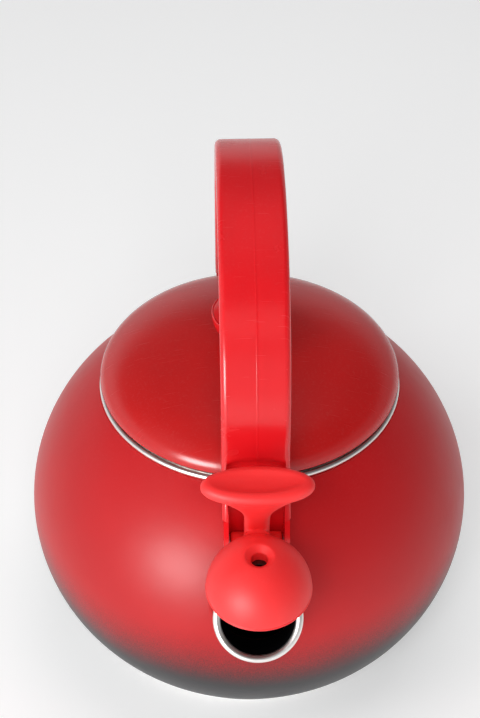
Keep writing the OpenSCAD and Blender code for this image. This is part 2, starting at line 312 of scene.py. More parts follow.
def superellipse(u: np.ndarray, power: np.ndarray | float) -> tuple[np.ndarray, np.ndarray]:
    """Unit superellipse: cos u and sin u, each with its sign kept and its size raised to a power.

    Args:
        u: Angles round the outline.
        power: Power; 1 gives a circle and smaller values give squarer outlines.

    Returns:
        The outline's two coordinates.
    """
    c, s = np.cos(u), np.sin(u)
    return np.sign(c) * np.abs(c) ** power, np.sign(s) * np.abs(s) ** power


def make_piece(name: str, grids: list[Grid], place: np.ndarray | None = None) -> bpy.types.Object:
    """Makes one mesh object from grids, with poles merged and normals pointing outwards.

    Args:
        name: Name of the object.
        grids: Sheets that the piece is made of, each closed.
        place: 4x4 matrix that moves the points into the frame, or None.

    Returns:
        The object, whose own place is the origin.
    """
    starts = np.cumsum([0] + [g.points.shape[0] * g.points.shape[1] for g in grids])
    points = np.concatenate([g.points.reshape(-1, 3) for g in grids])
    if place is not None:
        points = points @ place[:3, :3].T + place[:3, 3]
    faces = np.concatenate([g.faces(int(s)) for g, s in zip(grids, starts)])
    mesh = bpy.data.meshes.new(name)
    mesh.vertices.add(len(points))
    mesh.vertices.foreach_set("co", points.astype(np.float32).ravel())
    mesh.loops.add(faces.size)
    mesh.loops.foreach_set("vertex_index", faces.astype(np.int32).ravel())
    mesh.polygons.add(len(faces))
    mesh.polygons.foreach_set("loop_start", np.arange(0, faces.size, 4, dtype=np.int32))
    mesh.polygons.foreach_set("material_index", np.concatenate([g.face_slots() for g in grids]))
    layer = mesh.uv_layers.new(name="UVMap")
    layer.data.foreach_set("uv", np.concatenate([g.uv() for g in grids]).astype(np.float32).ravel())
    mesh.update(calc_edges=True)
    mesh.validate()
    close_mesh(mesh)
    piece = bpy.data.objects.new(name, mesh)
    bpy.context.scene.collection.objects.link(piece)
    return piece


def shade(mesh: bpy.types.Mesh, sharp: float = SHARP) -> None:
    """Shades a mesh smooth up to an angle.

    Args:
        mesh: Mesh to shade.
        sharp: Angle in degrees above which an edge stays sharp.
    """
    mesh.shade_smooth()
    mesh.set_sharp_from_angle(angle=math.radians(sharp))


def close_mesh(mesh: bpy.types.Mesh) -> None:
    """Merges poles, turns the normals outwards and shades the mesh.

    Args:
        mesh: Mesh to finish.
    """
    work = bmesh.new()
    work.from_mesh(mesh)
    bmesh.ops.remove_doubles(work, verts=work.verts, dist=1e-7)
    bmesh.ops.dissolve_degenerate(work, edges=work.edges, dist=1e-8)
    bmesh.ops.recalc_face_normals(work, faces=work.faces)
    work.to_mesh(mesh)
    work.free()
    shade(mesh)


def bake(piece: bpy.types.Object, sharp: float = SHARP) -> None:
    """Turns a piece's modifiers into its mesh.

    Args:
        piece: Object with modifiers.
        sharp: Angle in degrees above which an edge stays sharp.
    """
    seen = piece.evaluated_get(bpy.context.evaluated_depsgraph_get())
    mesh = bpy.data.meshes.new_from_object(seen)
    piece.modifiers.clear()
    piece.data = mesh
    shade(mesh, sharp)


def cut(piece: bpy.types.Object, sheet: Grid, place: Matrix | np.ndarray) -> None:
    """Cuts the volume inside a sheet out of a piece.

    Args:
        piece: Object that is cut.
        sheet: Closed sheet round what goes.
        place: 4x4 matrix that moves the sheet into the frame.
    """
    tool = make_piece("cutter", [sheet], np.array(place))
    modifier = piece.modifiers.new("cut", "BOOLEAN")
    modifier.operation = "DIFFERENCE"
    modifier.solver = "EXACT"
    modifier.object = tool
    bake(piece)
    bpy.data.objects.remove(tool)


def fill_ends(piece: bpy.types.Object) -> None:
    """Closes a tube's open ends with flat faces, whatever the shape of their outline.

    Args:
        piece: Object with open ends.
    """
    work = bmesh.new()
    work.from_mesh(piece.data)
    rims = [edge for edge in work.edges if edge.is_boundary]
    ends = bmesh.ops.holes_fill(work, edges=rims, sides=0)["faces"]
    bmesh.ops.triangulate(work, faces=ends, ngon_method="EAR_CLIP")
    bmesh.ops.recalc_face_normals(work, faces=work.faces)
    work.to_mesh(piece.data)
    work.free()


def soften(piece: bpy.types.Object, voxel: float, rounds: int) -> None:
    """Joins a piece's closed sheets into one skin and rounds the seams between them.

    Args:
        piece: Object made of overlapping closed sheets.
        voxel: Cell size of the joined skin.
        rounds: Smoothing passes over it.
    """
    remesh = piece.modifiers.new("join", "REMESH")
    remesh.mode = "VOXEL"
    remesh.voxel_size = voxel
    remesh.adaptivity = 0.0
    smooth = piece.modifiers.new("round", "SMOOTH")
    smooth.factor = 0.5
    smooth.iterations = rounds
    bake(piece, sharp=180.0)


# ---------------------------------------------------------------------------
# Layout
# ---------------------------------------------------------------------------


@dataclass(frozen=True)
class Layout:
    """Sizes and places that several pieces share, read from the frame.

    Attributes:
        belly_r: Widest radius of the belly.
        belly_h: Half height of the belly's oval.
        belly_z: Height of the widest circle.
        shell: Wall thickness of the belly.
        base_h: Height of the base capsule.
        base_r: Radius of the base capsule.
        rim_r: Radius of the centre of the rim's roll.
        roll_r: Radius of that roll.
        rim_z: Height of the centre of the roll.
        neck_r: Inner radius of the neck.
        neck_low: Height of the neck's lower edge.
        mouth: Centre of the spout's mouth.
        pitch: Angle of the spout above level, in radians.
        mouth_r: Radius of the centre of the mouth's roll.
        mouth_roll: Radius of that roll.
        pivot: Point on the lever's axis.
        opened: Angle by which the cap stands open at rest, in radians.
        lip: Depth by which the cap's lip passes the mouth when shut.
    """

    belly_r: float
    base_h: float
    base_r: float
    rim_r: float
    rim_z: float
    neck_low: float
    mouth_r: float
    pivot: Vector
    belly_h: float = 95 * MM
    belly_z: float = 73 * MM
    shell: float = 1 * MM
    roll_r: float = 1.5 * MM
    neck_r: float = 63.4 * MM
    mouth_roll: float = 1.7 * MM
    lip: float = 3 * MM
    mouth: Vector = field(default_factory=lambda: Vector((0.0, -119 * MM, 114.5 * MM)))
    pitch: float = math.radians(35)
    opened: float = math.radians(50)

    @classmethod
    def read(cls, frame: dict) -> "Layout":
        """Measures the frame's nodes.


        Returns:
            The layout.
        """
        body_low, body_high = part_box("body_shell")
        base_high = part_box("base_cover")[1]
        rim_low, rim_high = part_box("rim_ring")
        joint = next(j for j in frame["joints"] if j["name"] == "whistle_hinge")
        return cls(
            belly_r=round(max(body_high.x, body_high.y), 4),
            base_h=body_low.z,
            base_r=round(max(base_high.x, base_high.y), 4),
            rim_r=rim_high.x - cls.roll_r,
            rim_z=rim_high.z - cls.roll_r,
            neck_low=rim_low.z,
            mouth_r=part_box("spout_ring")[1].x - cls.mouth_roll,
            pivot=Vector(joint["pos_m"]),
        )

    def spout_place(self) -> np.ndarray:
        """Matrix from the spout's own axes (Z out of the mouth, origin at its centre) to the frame."""
        turn = Matrix.Rotation(math.pi / 2 - self.pitch, 4, "X")
        return np.array(Matrix.Translation(self.mouth) @ turn)

    def cap_place(self) -> np.ndarray:
        """Matrix from the cap's own axes (Z out of its top, origin in its lip's plane) to the frame."""
        there, back = Matrix.Translation(self.pivot), Matrix.Translation(-self.pivot)
        swing = there @ Matrix.Rotation(-self.opened, 4, "X") @ back
        turn = Matrix.Rotation(math.pi / 2 - self.pitch, 4, "X")
        shut = Matrix.Translation(self.mouth) @ turn @ Matrix.Translation((0, 0, -self.lip))
        return np.array(swing @ shut)


# ---------------------------------------------------------------------------
# Shader groups
# ---------------------------------------------------------------------------


class Graph:
    """A node tree that is being wired."""

    def __init__(self, tree: bpy.types.NodeTree) -> None:
        """Starts on a tree.

        Args:
            tree: Tree of a material or of a group.
        """
        self.tree = tree

    def feed(self, node: bpy.types.Node, sockets: dict[str | int, Feed]) -> None:
        """Feeds values or output sockets into a node's inputs.

        Args:
            node: Node that is fed.
            sockets: Input name or index to a value or to an output socket.
        """
        for key, value in sockets.items():
            if isinstance(value, bpy.types.NodeSocket):
                self.tree.links.new(value, node.inputs[key])
            else:
                node.inputs[key].default_value = value

    def add(self, kind: str, sockets: dict[str | int, Feed] | None = None, **settings) -> bpy.types.Node:
        """Adds a node and feeds its inputs.

        Args:
            kind: Node type without its "ShaderNode" start.
            sockets: Input name or index to a value or to an output socket.
            **settings: Properties of the node.

        Returns:
            The node.
        """
        node = self.tree.nodes.new("ShaderNode" + kind)
        for key, value in settings.items():
            setattr(node, key, value)
        self.feed(node, sockets or {})
        node.location = (220 * (len(self.tree.nodes) % 8), -260 * (len(self.tree.nodes) // 8))
        return node

    def group(self, name: str, sockets: dict[str | int, Feed]) -> bpy.types.Node:
        """Places a shader group.

        Args:
            name: Name of the group.
            sockets: Input name to a value or to an output socket.

        Returns:
            The group's node.
        """
        return self.add("Group", sockets, node_tree=bpy.data.node_groups[name])

    def math(
        self, operation: str, first: Feed, second: Feed = 0.0, clamp: bool = False
    ) -> bpy.types.NodeSocket:
        """Adds a sum, product or other two-number operation.

        Args:
            operation: Name of the operation.
            first: First value or socket.
            second: Second value or socket.
            clamp: Whether the result is held from 0 to 1.

        Returns:
            The output socket.
        """
        return self.add("Math", {0: first, 1: second}, operation=operation, use_clamp=clamp).outputs[0]

    def ramp(
        self, value: Feed, low: float, high: float, to_low: float = 0.0, to_high: float = 1.0
    ) -> bpy.types.NodeSocket:
        """Maps a range of a value smoothly to another range.

        Args:
            value: Socket that is mapped.
            low: Value that gives to_low.
            high: Value that gives to_high.
            to_low: Result at low.
            to_high: Result at high.

        Returns:
            The output socket.
        """
        sockets = {"Value": value, "From Min": low, "From Max": high, "To Min": to_low, "To Max": to_high}
        return self.add("MapRange", sockets, interpolation_type="SMOOTHSTEP").outputs["Result"]

    def mix(self, factor: Feed, first: Feed, second: Feed) -> bpy.types.NodeSocket:
        """Mixes two colours.

        Args:
            factor: Share of the second colour.
            first: First colour or socket.
            second: Second colour or socket.

        Returns:
            The colour socket.
        """
        node = self.add("Mix", {0: factor, 6: first, 7: second}, data_type="RGBA")
        return node.outputs[2]

    def noise(
        self, vector: Feed, scale: float, detail: float = 3.0, rough: float = 0.5
    ) -> bpy.types.NodeSocket:
        """Adds a cloudy noise from 0 to 1.

        Args:
            vector: Coordinates.
            scale: Features per metre.
            detail: Octaves.
            rough: Strength of the fine octaves.

        Returns:
            The value socket.
        """
        sockets = {"Vector": vector, "Scale": scale, "Detail": detail, "Roughness": rough}
        return self.add("TexNoise", sockets).outputs[0]


def open_group(
    name: str, levels: dict[str, float], outputs: dict[str, str]
) -> tuple[Graph, dict[str, bpy.types.NodeSocket], bpy.types.Node]:
    """Makes a shader group whose inputs are a vector and a few levels.

    Args:
        name: Name of the group.
        levels: Name and default of each number that it takes.
        outputs: Name and socket type of each output.

    Returns:
        The group's graph, its input sockets by name and its output node.
    """
    tree = bpy.data.node_groups.new(name, "ShaderNodeTree")
    tree.interface.new_socket("Vector", in_out="INPUT", socket_type="NodeSocketVector")
    for level, default in levels.items():
        socket = tree.interface.new_socket(level, in_out="INPUT", socket_type="NodeSocketFloat")
        socket.default_value = default
    for output, kind in outputs.items():
        tree.interface.new_socket(output, in_out="OUTPUT", socket_type="NodeSocket" + kind)
    inner = tree.nodes.new("NodeGroupInput")
    return Graph(tree), {s.name: s for s in inner.outputs}, tree.nodes.new("NodeGroupOutput")


def group_enamel_skin() -> None:
    """Wavy skin of sprayed or fired enamel: a slow ripple, a fine grain and a few specks."""
    levels = {"Ripple": 0.3, "Grain": 0.2, "Speck": 0.2}
    outputs = {"Normal": "Vector", "Fleck": "Float", "Patch": "Float"}
    graph, given, out = open_group("enamel_skin", levels, outputs)
    slow = graph.noise(given["Vector"], 90.0, 2.0)
    fine = graph.noise(given["Vector"], 1400.0, 2.0)
    ripple = graph.add("Bump", {"Height": slow, "Strength": given["Ripple"], "Distance": 0.0006}).outputs[0]
    sockets = {"Height": fine, "Strength": given["Grain"], "Distance": 0.00008, "Normal": ripple}
    grain = graph.add("Bump", sockets).outputs[0]
    cells = graph.add("TexVoronoi", {"Vector": given["Vector"], "Scale": 420.0}).outputs["Distance"]
    dots = graph.ramp(cells, 0.05, 0.12, 1.0, 0.0)
    fleck = graph.math("MULTIPLY", dots, given["Speck"])
    patch = graph.noise(given["Vector"], 14.0, 4.0)
    graph.feed(out, {"Normal": grain, "Fleck": fleck, "Patch": patch})


def group_spray_fade() -> None:
    """Share of the second colour where one sprayed colour fades into another down the height."""
    levels = {"Low": 0.04, "High": 0.08, "Spatter": 0.2}
    graph, given, out = open_group("spray_fade", levels, {"Mask": "Float"})
    height = graph.add("SeparateXYZ", {0: given["Vector"]}).outputs["Z"]
    cloud = graph.math("SUBTRACT", graph.noise(given["Vector"], 22.0, 2.0), 0.5)
    cloud = graph.math("MULTIPLY", cloud, 0.008)
    mist = graph.math("SUBTRACT", graph.noise(given["Vector"], 2600.0, 1.0), 0.5)
    height = graph.math("ADD", height, cloud)
    span = graph.math("SUBTRACT", given["High"], given["Low"])
    share = graph.math("DIVIDE", graph.math("SUBTRACT", given["High"], height), span)
    inside = graph.math("MULTIPLY", share, graph.math("SUBTRACT", 1.0, share), clamp=True)
    spatter = graph.math("MULTIPLY", graph.math("MULTIPLY", mist, inside), given["Spatter"])
    share = graph.math("ADD", share, graph.math("MULTIPLY", spatter, 8.0), clamp=True)
    graph.feed(out, {"Mask": graph.ramp(share, 0.0, 1.0)})


def group_handling_marks() -> None:
    """Roughness added by hairline scratches and by the smears of fingers."""
    levels = {"Scratches": 0.1, "Smears": 0.1}
    graph, given, out = open_group("handling_marks", levels, {"Roughness": "Float"})
    lines = None
    for turn, stretch in ((0.4, 60.0), (1.9, 75.0)):
        sockets = {"Rotation": (turn, turn * 0.7, turn), "Scale": (stretch, 2600.0, stretch)}
        mapped = graph.add("Mapping", {"Vector": given["Vector"], **sockets}).outputs[0]
        line = graph.ramp(graph.noise(mapped, 1.0, 1.0), 0.72, 0.78)
        lines = line if lines is None else graph.math("MAXIMUM", lines, line)
    smear = graph.ramp(graph.noise(given["Vector"], 38.0, 5.0, 0.6), 0.5, 0.75)
    scratch = graph.math("MULTIPLY", lines, given["Scratches"])
    total = graph.math("ADD", scratch, graph.math("MULTIPLY", smear, given["Smears"]))
    graph.feed(out, {"Roughness": total})


def group_moulded_grain() -> None:
    """Skin of a moulding: fine spark grain and a slow flow pattern."""
    levels = {"Grain": 0.2, "Flow": 0.2}
    graph, given, out = open_group("moulded_grain", levels, {"Normal": "Vector", "Tone": "Float"})
    spark = graph.noise(given["Vector"], 2200.0, 3.0, 0.7)
    slow = graph.noise(given["Vector"], 60.0, 2.0)
    flow = graph.add("Bump", {"Height": slow, "Strength": given["Flow"], "Distance": 0.0004}).outputs[0]
    sockets = {"Height": spark, "Strength": given["Grain"], "Distance": 0.00006, "Normal": flow}
    grain = graph.add("Bump", sockets).outputs[0]
    graph.feed(out, {"Normal": grain, "Tone": graph.noise(given["Vector"], 25.0, 3.0)})


def group_turned_metal() -> None:
    """Fine rings left by turning or polishing about an axis, from the distance to that axis."""
    levels = {"Rings": 0.3, "Pitch": 4000.0}
    graph, given, out = open_group("turned_metal", levels, {"Normal": "Vector", "Streak": "Float"})
    parts = graph.add("SeparateXYZ", {0: given["Vector"]}).outputs
    square = graph.math("ADD", graph.math("POWER", parts["X"], 2.0), graph.math("POWER", parts["Y"], 2.0))
    radius = graph.math("MULTIPLY", graph.math("SQRT", square), given["Pitch"])
    height = graph.math("MULTIPLY", parts["Z"], given["Pitch"])
    spread = graph.add("CombineXYZ", {0: radius, 1: height}).outputs[0]
    rings = graph.noise(spread, 1.0, 3.0, 0.6)
    bump = graph.add("Bump", {"Height": rings, "Strength": given["Rings"], "Distance": 0.00003})
    graph.feed(out, {"Normal": bump.outputs[0], "Streak": rings})


def group_settled_dust() -> None:
    """Thin dust on faces that look up, broken by noise."""
    graph, given, out = open_group("settled_dust", {"Amount": 0.1}, {"Mask": "Float"})
    up = graph.add("SeparateXYZ", {0: graph.add("NewGeometry").outputs["Normal"]}).outputs["Z"]
    facing = graph.ramp(up, 0.3, 1.0)
    motes = graph.ramp(graph.noise(given["Vector"], 900.0, 4.0, 0.7), 0.5, 0.72)
    mask = graph.math("MULTIPLY", graph.math("MULTIPLY", facing, motes), given["Amount"])
    graph.feed(out, {"Mask": mask})


def make_groups() -> None:
    """Makes every shared shader group."""
    group_enamel_skin()
    group_spray_fade()
    group_handling_marks()
    group_moulded_grain()
    group_turned_metal()
    group_settled_dust()


# ---------------------------------------------------------------------------
# Finishes
# ---------------------------------------------------------------------------


def rgba(colour: Colour) -> tuple[float, float, float, float]:
    """Adds a full alpha to a colour.

    Args:
        colour: Red, green and blue.

    Returns:
        The same with an alpha of 1.
    """
    return (*colour, 1.0)


@dataclass(frozen=True)
class Finish:
    """Base of every finish: opens a material and its coordinates.

    Attributes:
        name: Name of the material.
    """

    name: str

    def make(self) -> bpy.types.Material:
        """Returns the material, made on the first call."""
        found = bpy.data.materials.get(self.name)
        if found:
            return found
        material = bpy.data.materials.new(self.name)
        material.use_nodes = True
        graph = Graph(material.node_tree)
        shader = material.node_tree.nodes["Principled BSDF"]
        vector = graph.add("TexCoord").outputs["Object"]
        self.wire(graph, shader, vector)
        return material

    def wire(self, graph: Graph, shader: bpy.types.Node, vector: bpy.types.NodeSocket) -> None:
        """Wires the finish into the shader.

        Args:
            graph: Material's graph.
            shader: Principled shader.
            vector: The piece's own coordinates.
        """
        raise NotImplementedError


@dataclass(frozen=True)
class Enamel(Finish):
    """Enamel in one colour, or fading into a second one towards the base.

    Attributes:
        colour: Main colour.
        fade: Colour near the base, or None.
        fade_low: Height where the fade is complete.
        fade_high: Height where it starts.
        roughness: Roughness of the skin.
        ripple: Strength of the slow waves.
        specular: Level of its mirror-like share.
    """

    colour: Colour = (0.6, 0.02, 0.02)
    fade: Colour | None = None
    fade_low: float = 0.04
    fade_high: float = 0.08
    roughness: float = 0.3
    ripple: float = 0.15
    specular: float = 0.5

    def wire(self, graph: Graph, shader: bpy.types.Node, vector: bpy.types.NodeSocket) -> None:
        """Wires skin, fade, marks and dust into the shader.

        Args:
            graph: Material's graph.
            shader: Principled shader.
            vector: The piece's own coordinates.
        """
        levels = {"Ripple": self.ripple, "Grain": 0.12, "Speck": 0.12}
        skin = graph.group("enamel_skin", {"Vector": vector, **levels})
        marks = graph.group("handling_marks", {"Vector": vector, "Scratches": 0.06, "Smears": 0.05})
        dust = graph.group("settled_dust", {"Vector": vector, "Amount": 0.025})
        tone = graph.ramp(skin.outputs["Patch"], 0.3, 0.7)
        dark = tuple(0.9 * c for c in self.colour)
        colour = graph.mix(tone, rgba(dark), rgba(self.colour))
        if self.fade is not None:
            sockets = {"Vector": vector, "Low": self.fade_low, "High": self.fade_high, "Spatter": 0.5}
            mask = graph.group("spray_fade", sockets).outputs["Mask"]
            colour = graph.mix(mask, colour, rgba(self.fade))
        colour = graph.mix(skin.outputs["Fleck"], colour, rgba(tuple(0.3 * c for c in self.colour)))
        colour = graph.mix(dust.outputs["Mask"], colour, (0.6, 0.57, 0.53, 1.0))
        rough = graph.math("ADD", marks.outputs["Roughness"], self.roughness)
        rough = graph.math("ADD", rough, graph.math("MULTIPLY", skin.outputs["Patch"], 0.05), clamp=True)
        graph.feed(shader, {"Base Color": colour, "Roughness": rough, "Normal": skin.outputs["Normal"]})
        graph.feed(shader, {"Specular IOR Level": self.specular})


@dataclass(frozen=True)
class Moulding(Finish):
    """Coloured plastic moulding.

    Attributes:
        colour: Colour of the plastic.
        roughness: Roughness of its skin.
        grain: Strength of the spark grain.
        depth: Share of light that scatters under the skin.
    """

    colour: Colour = (0.8, 0.02, 0.02)
    roughness: float = 0.3
    grain: float = 0.15
    depth: float = 0.0

    def wire(self, graph: Graph, shader: bpy.types.Node, vector: bpy.types.NodeSocket) -> None:
        """Wires grain, marks and dust into the shader.

        Args:
            graph: Material's graph.
            shader: Principled shader.
            vector: The piece's own coordinates.
        """
        grain = graph.group("moulded_grain", {"Vector": vector, "Grain": self.grain, "Flow": 0.12})
        marks = graph.group("handling_marks", {"Vector": vector, "Scratches": 0.1, "Smears": 0.08})
        dust = graph.group("settled_dust", {"Vector": vector, "Amount": 0.02})
        tone = graph.ramp(grain.outputs["Tone"], 0.3, 0.7)
        colour = graph.mix(tone, rgba(tuple(0.92 * c for c in self.colour)), rgba(self.colour))
        colour = graph.mix(dust.outputs["Mask"], colour, (0.6, 0.55, 0.52, 1.0))
        rough = graph.math("ADD", marks.outputs["Roughness"], self.roughness, clamp=True)
        graph.feed(shader, {"Base Color": colour, "Roughness": rough, "Normal": grain.outputs["Normal"]})
        if self.depth > 0:
            graph.feed(shader, {"Subsurface Weight": self.depth, "Subsurface Scale": 0.002})
            graph.feed(shader, {"Subsurface Radius": (1.0, 0.25, 0.15)})


@dataclass(frozen=True)
class Metal(Finish):
    """Bare metal with turning rings, scratches and a faint heat or oxide tone.

    Attributes:
        colour: Colour of the metal.
        tarnish: Colour of its duller patches.
        roughness: Roughness of the metal.
        rings: Strength of the turning rings.
        pitch: Rings per metre.
    """

    colour: Colour = (0.75, 0.74, 0.72)
    tarnish: Colour = (0.6, 0.57, 0.53)
    roughness: float = 0.15
    rings: float = 0.2
    pitch: float = 3000.0

    def wire(self, graph: Graph, shader: bpy.types.Node, vector: bpy.types.NodeSocket) -> None:
        """Wires rings, marks and tarnish into the shader.

        Args:
            graph: Material's graph.
            shader: Principled shader.
            vector: The piece's own coordinates.
        """
        levels = {"Rings": self.rings, "Pitch": self.pitch}
        turned_skin = graph.group("turned_metal", {"Vector": vector, **levels})
        marks = graph.group("handling_marks", {"Vector": vector, "Scratches": 0.12, "Smears": 0.1})
        patch = graph.ramp(graph.noise(vector, 45.0, 4.0), 0.55, 0.8)
        colour = graph.mix(graph.math("MULTIPLY", patch, 0.5), rgba(self.colour), rgba(self.tarnish))
        streak = graph.math("MULTIPLY", graph.math("SUBTRACT", turned_skin.outputs["Streak"], 0.5), 0.12)
        rough = graph.math("ADD", marks.outputs["Roughness"], self.roughness)
        rough = graph.math("ADD", rough, streak, clamp=True)
        graph.feed(shader, {"Base Color": colour, "Roughness": rough, "Metallic": 1.0})
        graph.feed(shader, {"Normal": turned_skin.outputs["Normal"]})


@dataclass(frozen=True)
class Silicone(Finish):
    """Soft, dull silicone.

    Attributes:
        colour: Colour of the silicone.
    """

    colour: Colour = (0.1, 0.1, 0.1)

    def wire(self, graph: Graph, shader: bpy.types.Node, vector: bpy.types.NodeSocket) -> None:
        """Wires grain and dust into the shader.

        Args:
            graph: Material's graph.
            shader: Principled shader.
            vector: The piece's own coordinates.
        """
        grain = graph.group("moulded_grain", {"Vector": vector, "Grain": 0.4, "Flow": 0.2})
        dust = graph.group("settled_dust", {"Vector": vector, "Amount": 0.2})
        colour = graph.mix(dust.outputs["Mask"], rgba(self.colour), (0.3, 0.29, 0.28, 1.0))
        graph.feed(shader, {"Base Color": colour, "Roughness": 0.7, "Normal": grain.outputs["Normal"]})


class Finishes:
    """Every finish of the kettle."""

    body = Enamel(
        "satin_red_fading_to_black",
        colour=(0.52, 0.009, 0.012),
        fade=(0.012, 0.012, 0.014),
        fade_low=44 * MM,
        fade_high=88 * MM,
        roughness=0.37,
        specular=0.3,
    )
    lid = Enamel("gloss_red_enamel", colour=(0.53, 0.009, 0.009), roughness=0.2)
    lining = Enamel("black_enamel_lining", colour=(0.003, 0.003, 0.004), roughness=0.5, specular=0.1)
    grip = Moulding("semi_gloss_red_moulding", (0.74, 0.008, 0.013), roughness=0.24, grain=0.06, depth=0.06)
    knob = Moulding("gloss_red_moulding", (0.74, 0.010, 0.014), roughness=0.14, grain=0.03, depth=0.05)
    lever = Moulding("matt_red_moulding", (0.93, 0.026, 0.027), roughness=0.52, grain=0.12, depth=0.1)
    bright = Metal("polished_steel", (0.86, 0.83, 0.80), (0.8, 0.77, 0.74), roughness=0.33, rings=0.02)
    # Painted shade: the whistle's disc and cup get a dark grey steel colour that stands in for the shade
    # seen through the cap's vent.
    vent_shade_steel = Metal("steel_darkened_for_vent_shade", (0.12, 0.11, 0.10), (0.2, 0.17, 0.14), roughness=0.5, rings=0.1)
    base = Metal("ring_brushed_steel", (0.58, 0.57, 0.56), roughness=0.3, rings=0.6, pitch=2400.0)
    strip = Metal("rolled_strip_steel", (0.5, 0.5, 0.5), roughness=0.35)
    zinc = Metal("zinc_plated_steel", (0.62, 0.63, 0.64), (0.5, 0.5, 0.45), roughness=0.28)
    aluminium = Metal("rolled_aluminium", (0.78, 0.79, 0.8), (0.6, 0.6, 0.6), roughness=0.38)
    seal = Silicone("dark_silicone", colour=(0.06, 0.06, 0.065))


def finish_piece(piece: bpy.types.Object, finishes: list[Finish]) -> None:
    """Gives a piece its materials.

    Args:
        piece: Object that is painted.
        finishes: One finish per material index.
    """
    if piece.data.materials:
        piece.data.materials.clear()
    for finish in finishes:
        piece.data.materials.append(finish.make())


def mount_piece(
    piece: bpy.types.Object, body: Body, node: str, finishes: list[Finish]
) -> None:
    """Paints a new piece, ties it to its body and lets it stand for a frame node.

    Args:
        piece: New object.
        body: Body it rides on.
        node: Frame node it stands for.
        finishes: One finish per material index.
    """
    finish_piece(piece, finishes)
    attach(piece, body.value)
    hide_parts(node)
    log.info("%s: %d faces", piece.name, len(piece.data.polygons))


# ---------------------------------------------------------------------------
# Vessel, base and rim
# ---------------------------------------------------------------------------


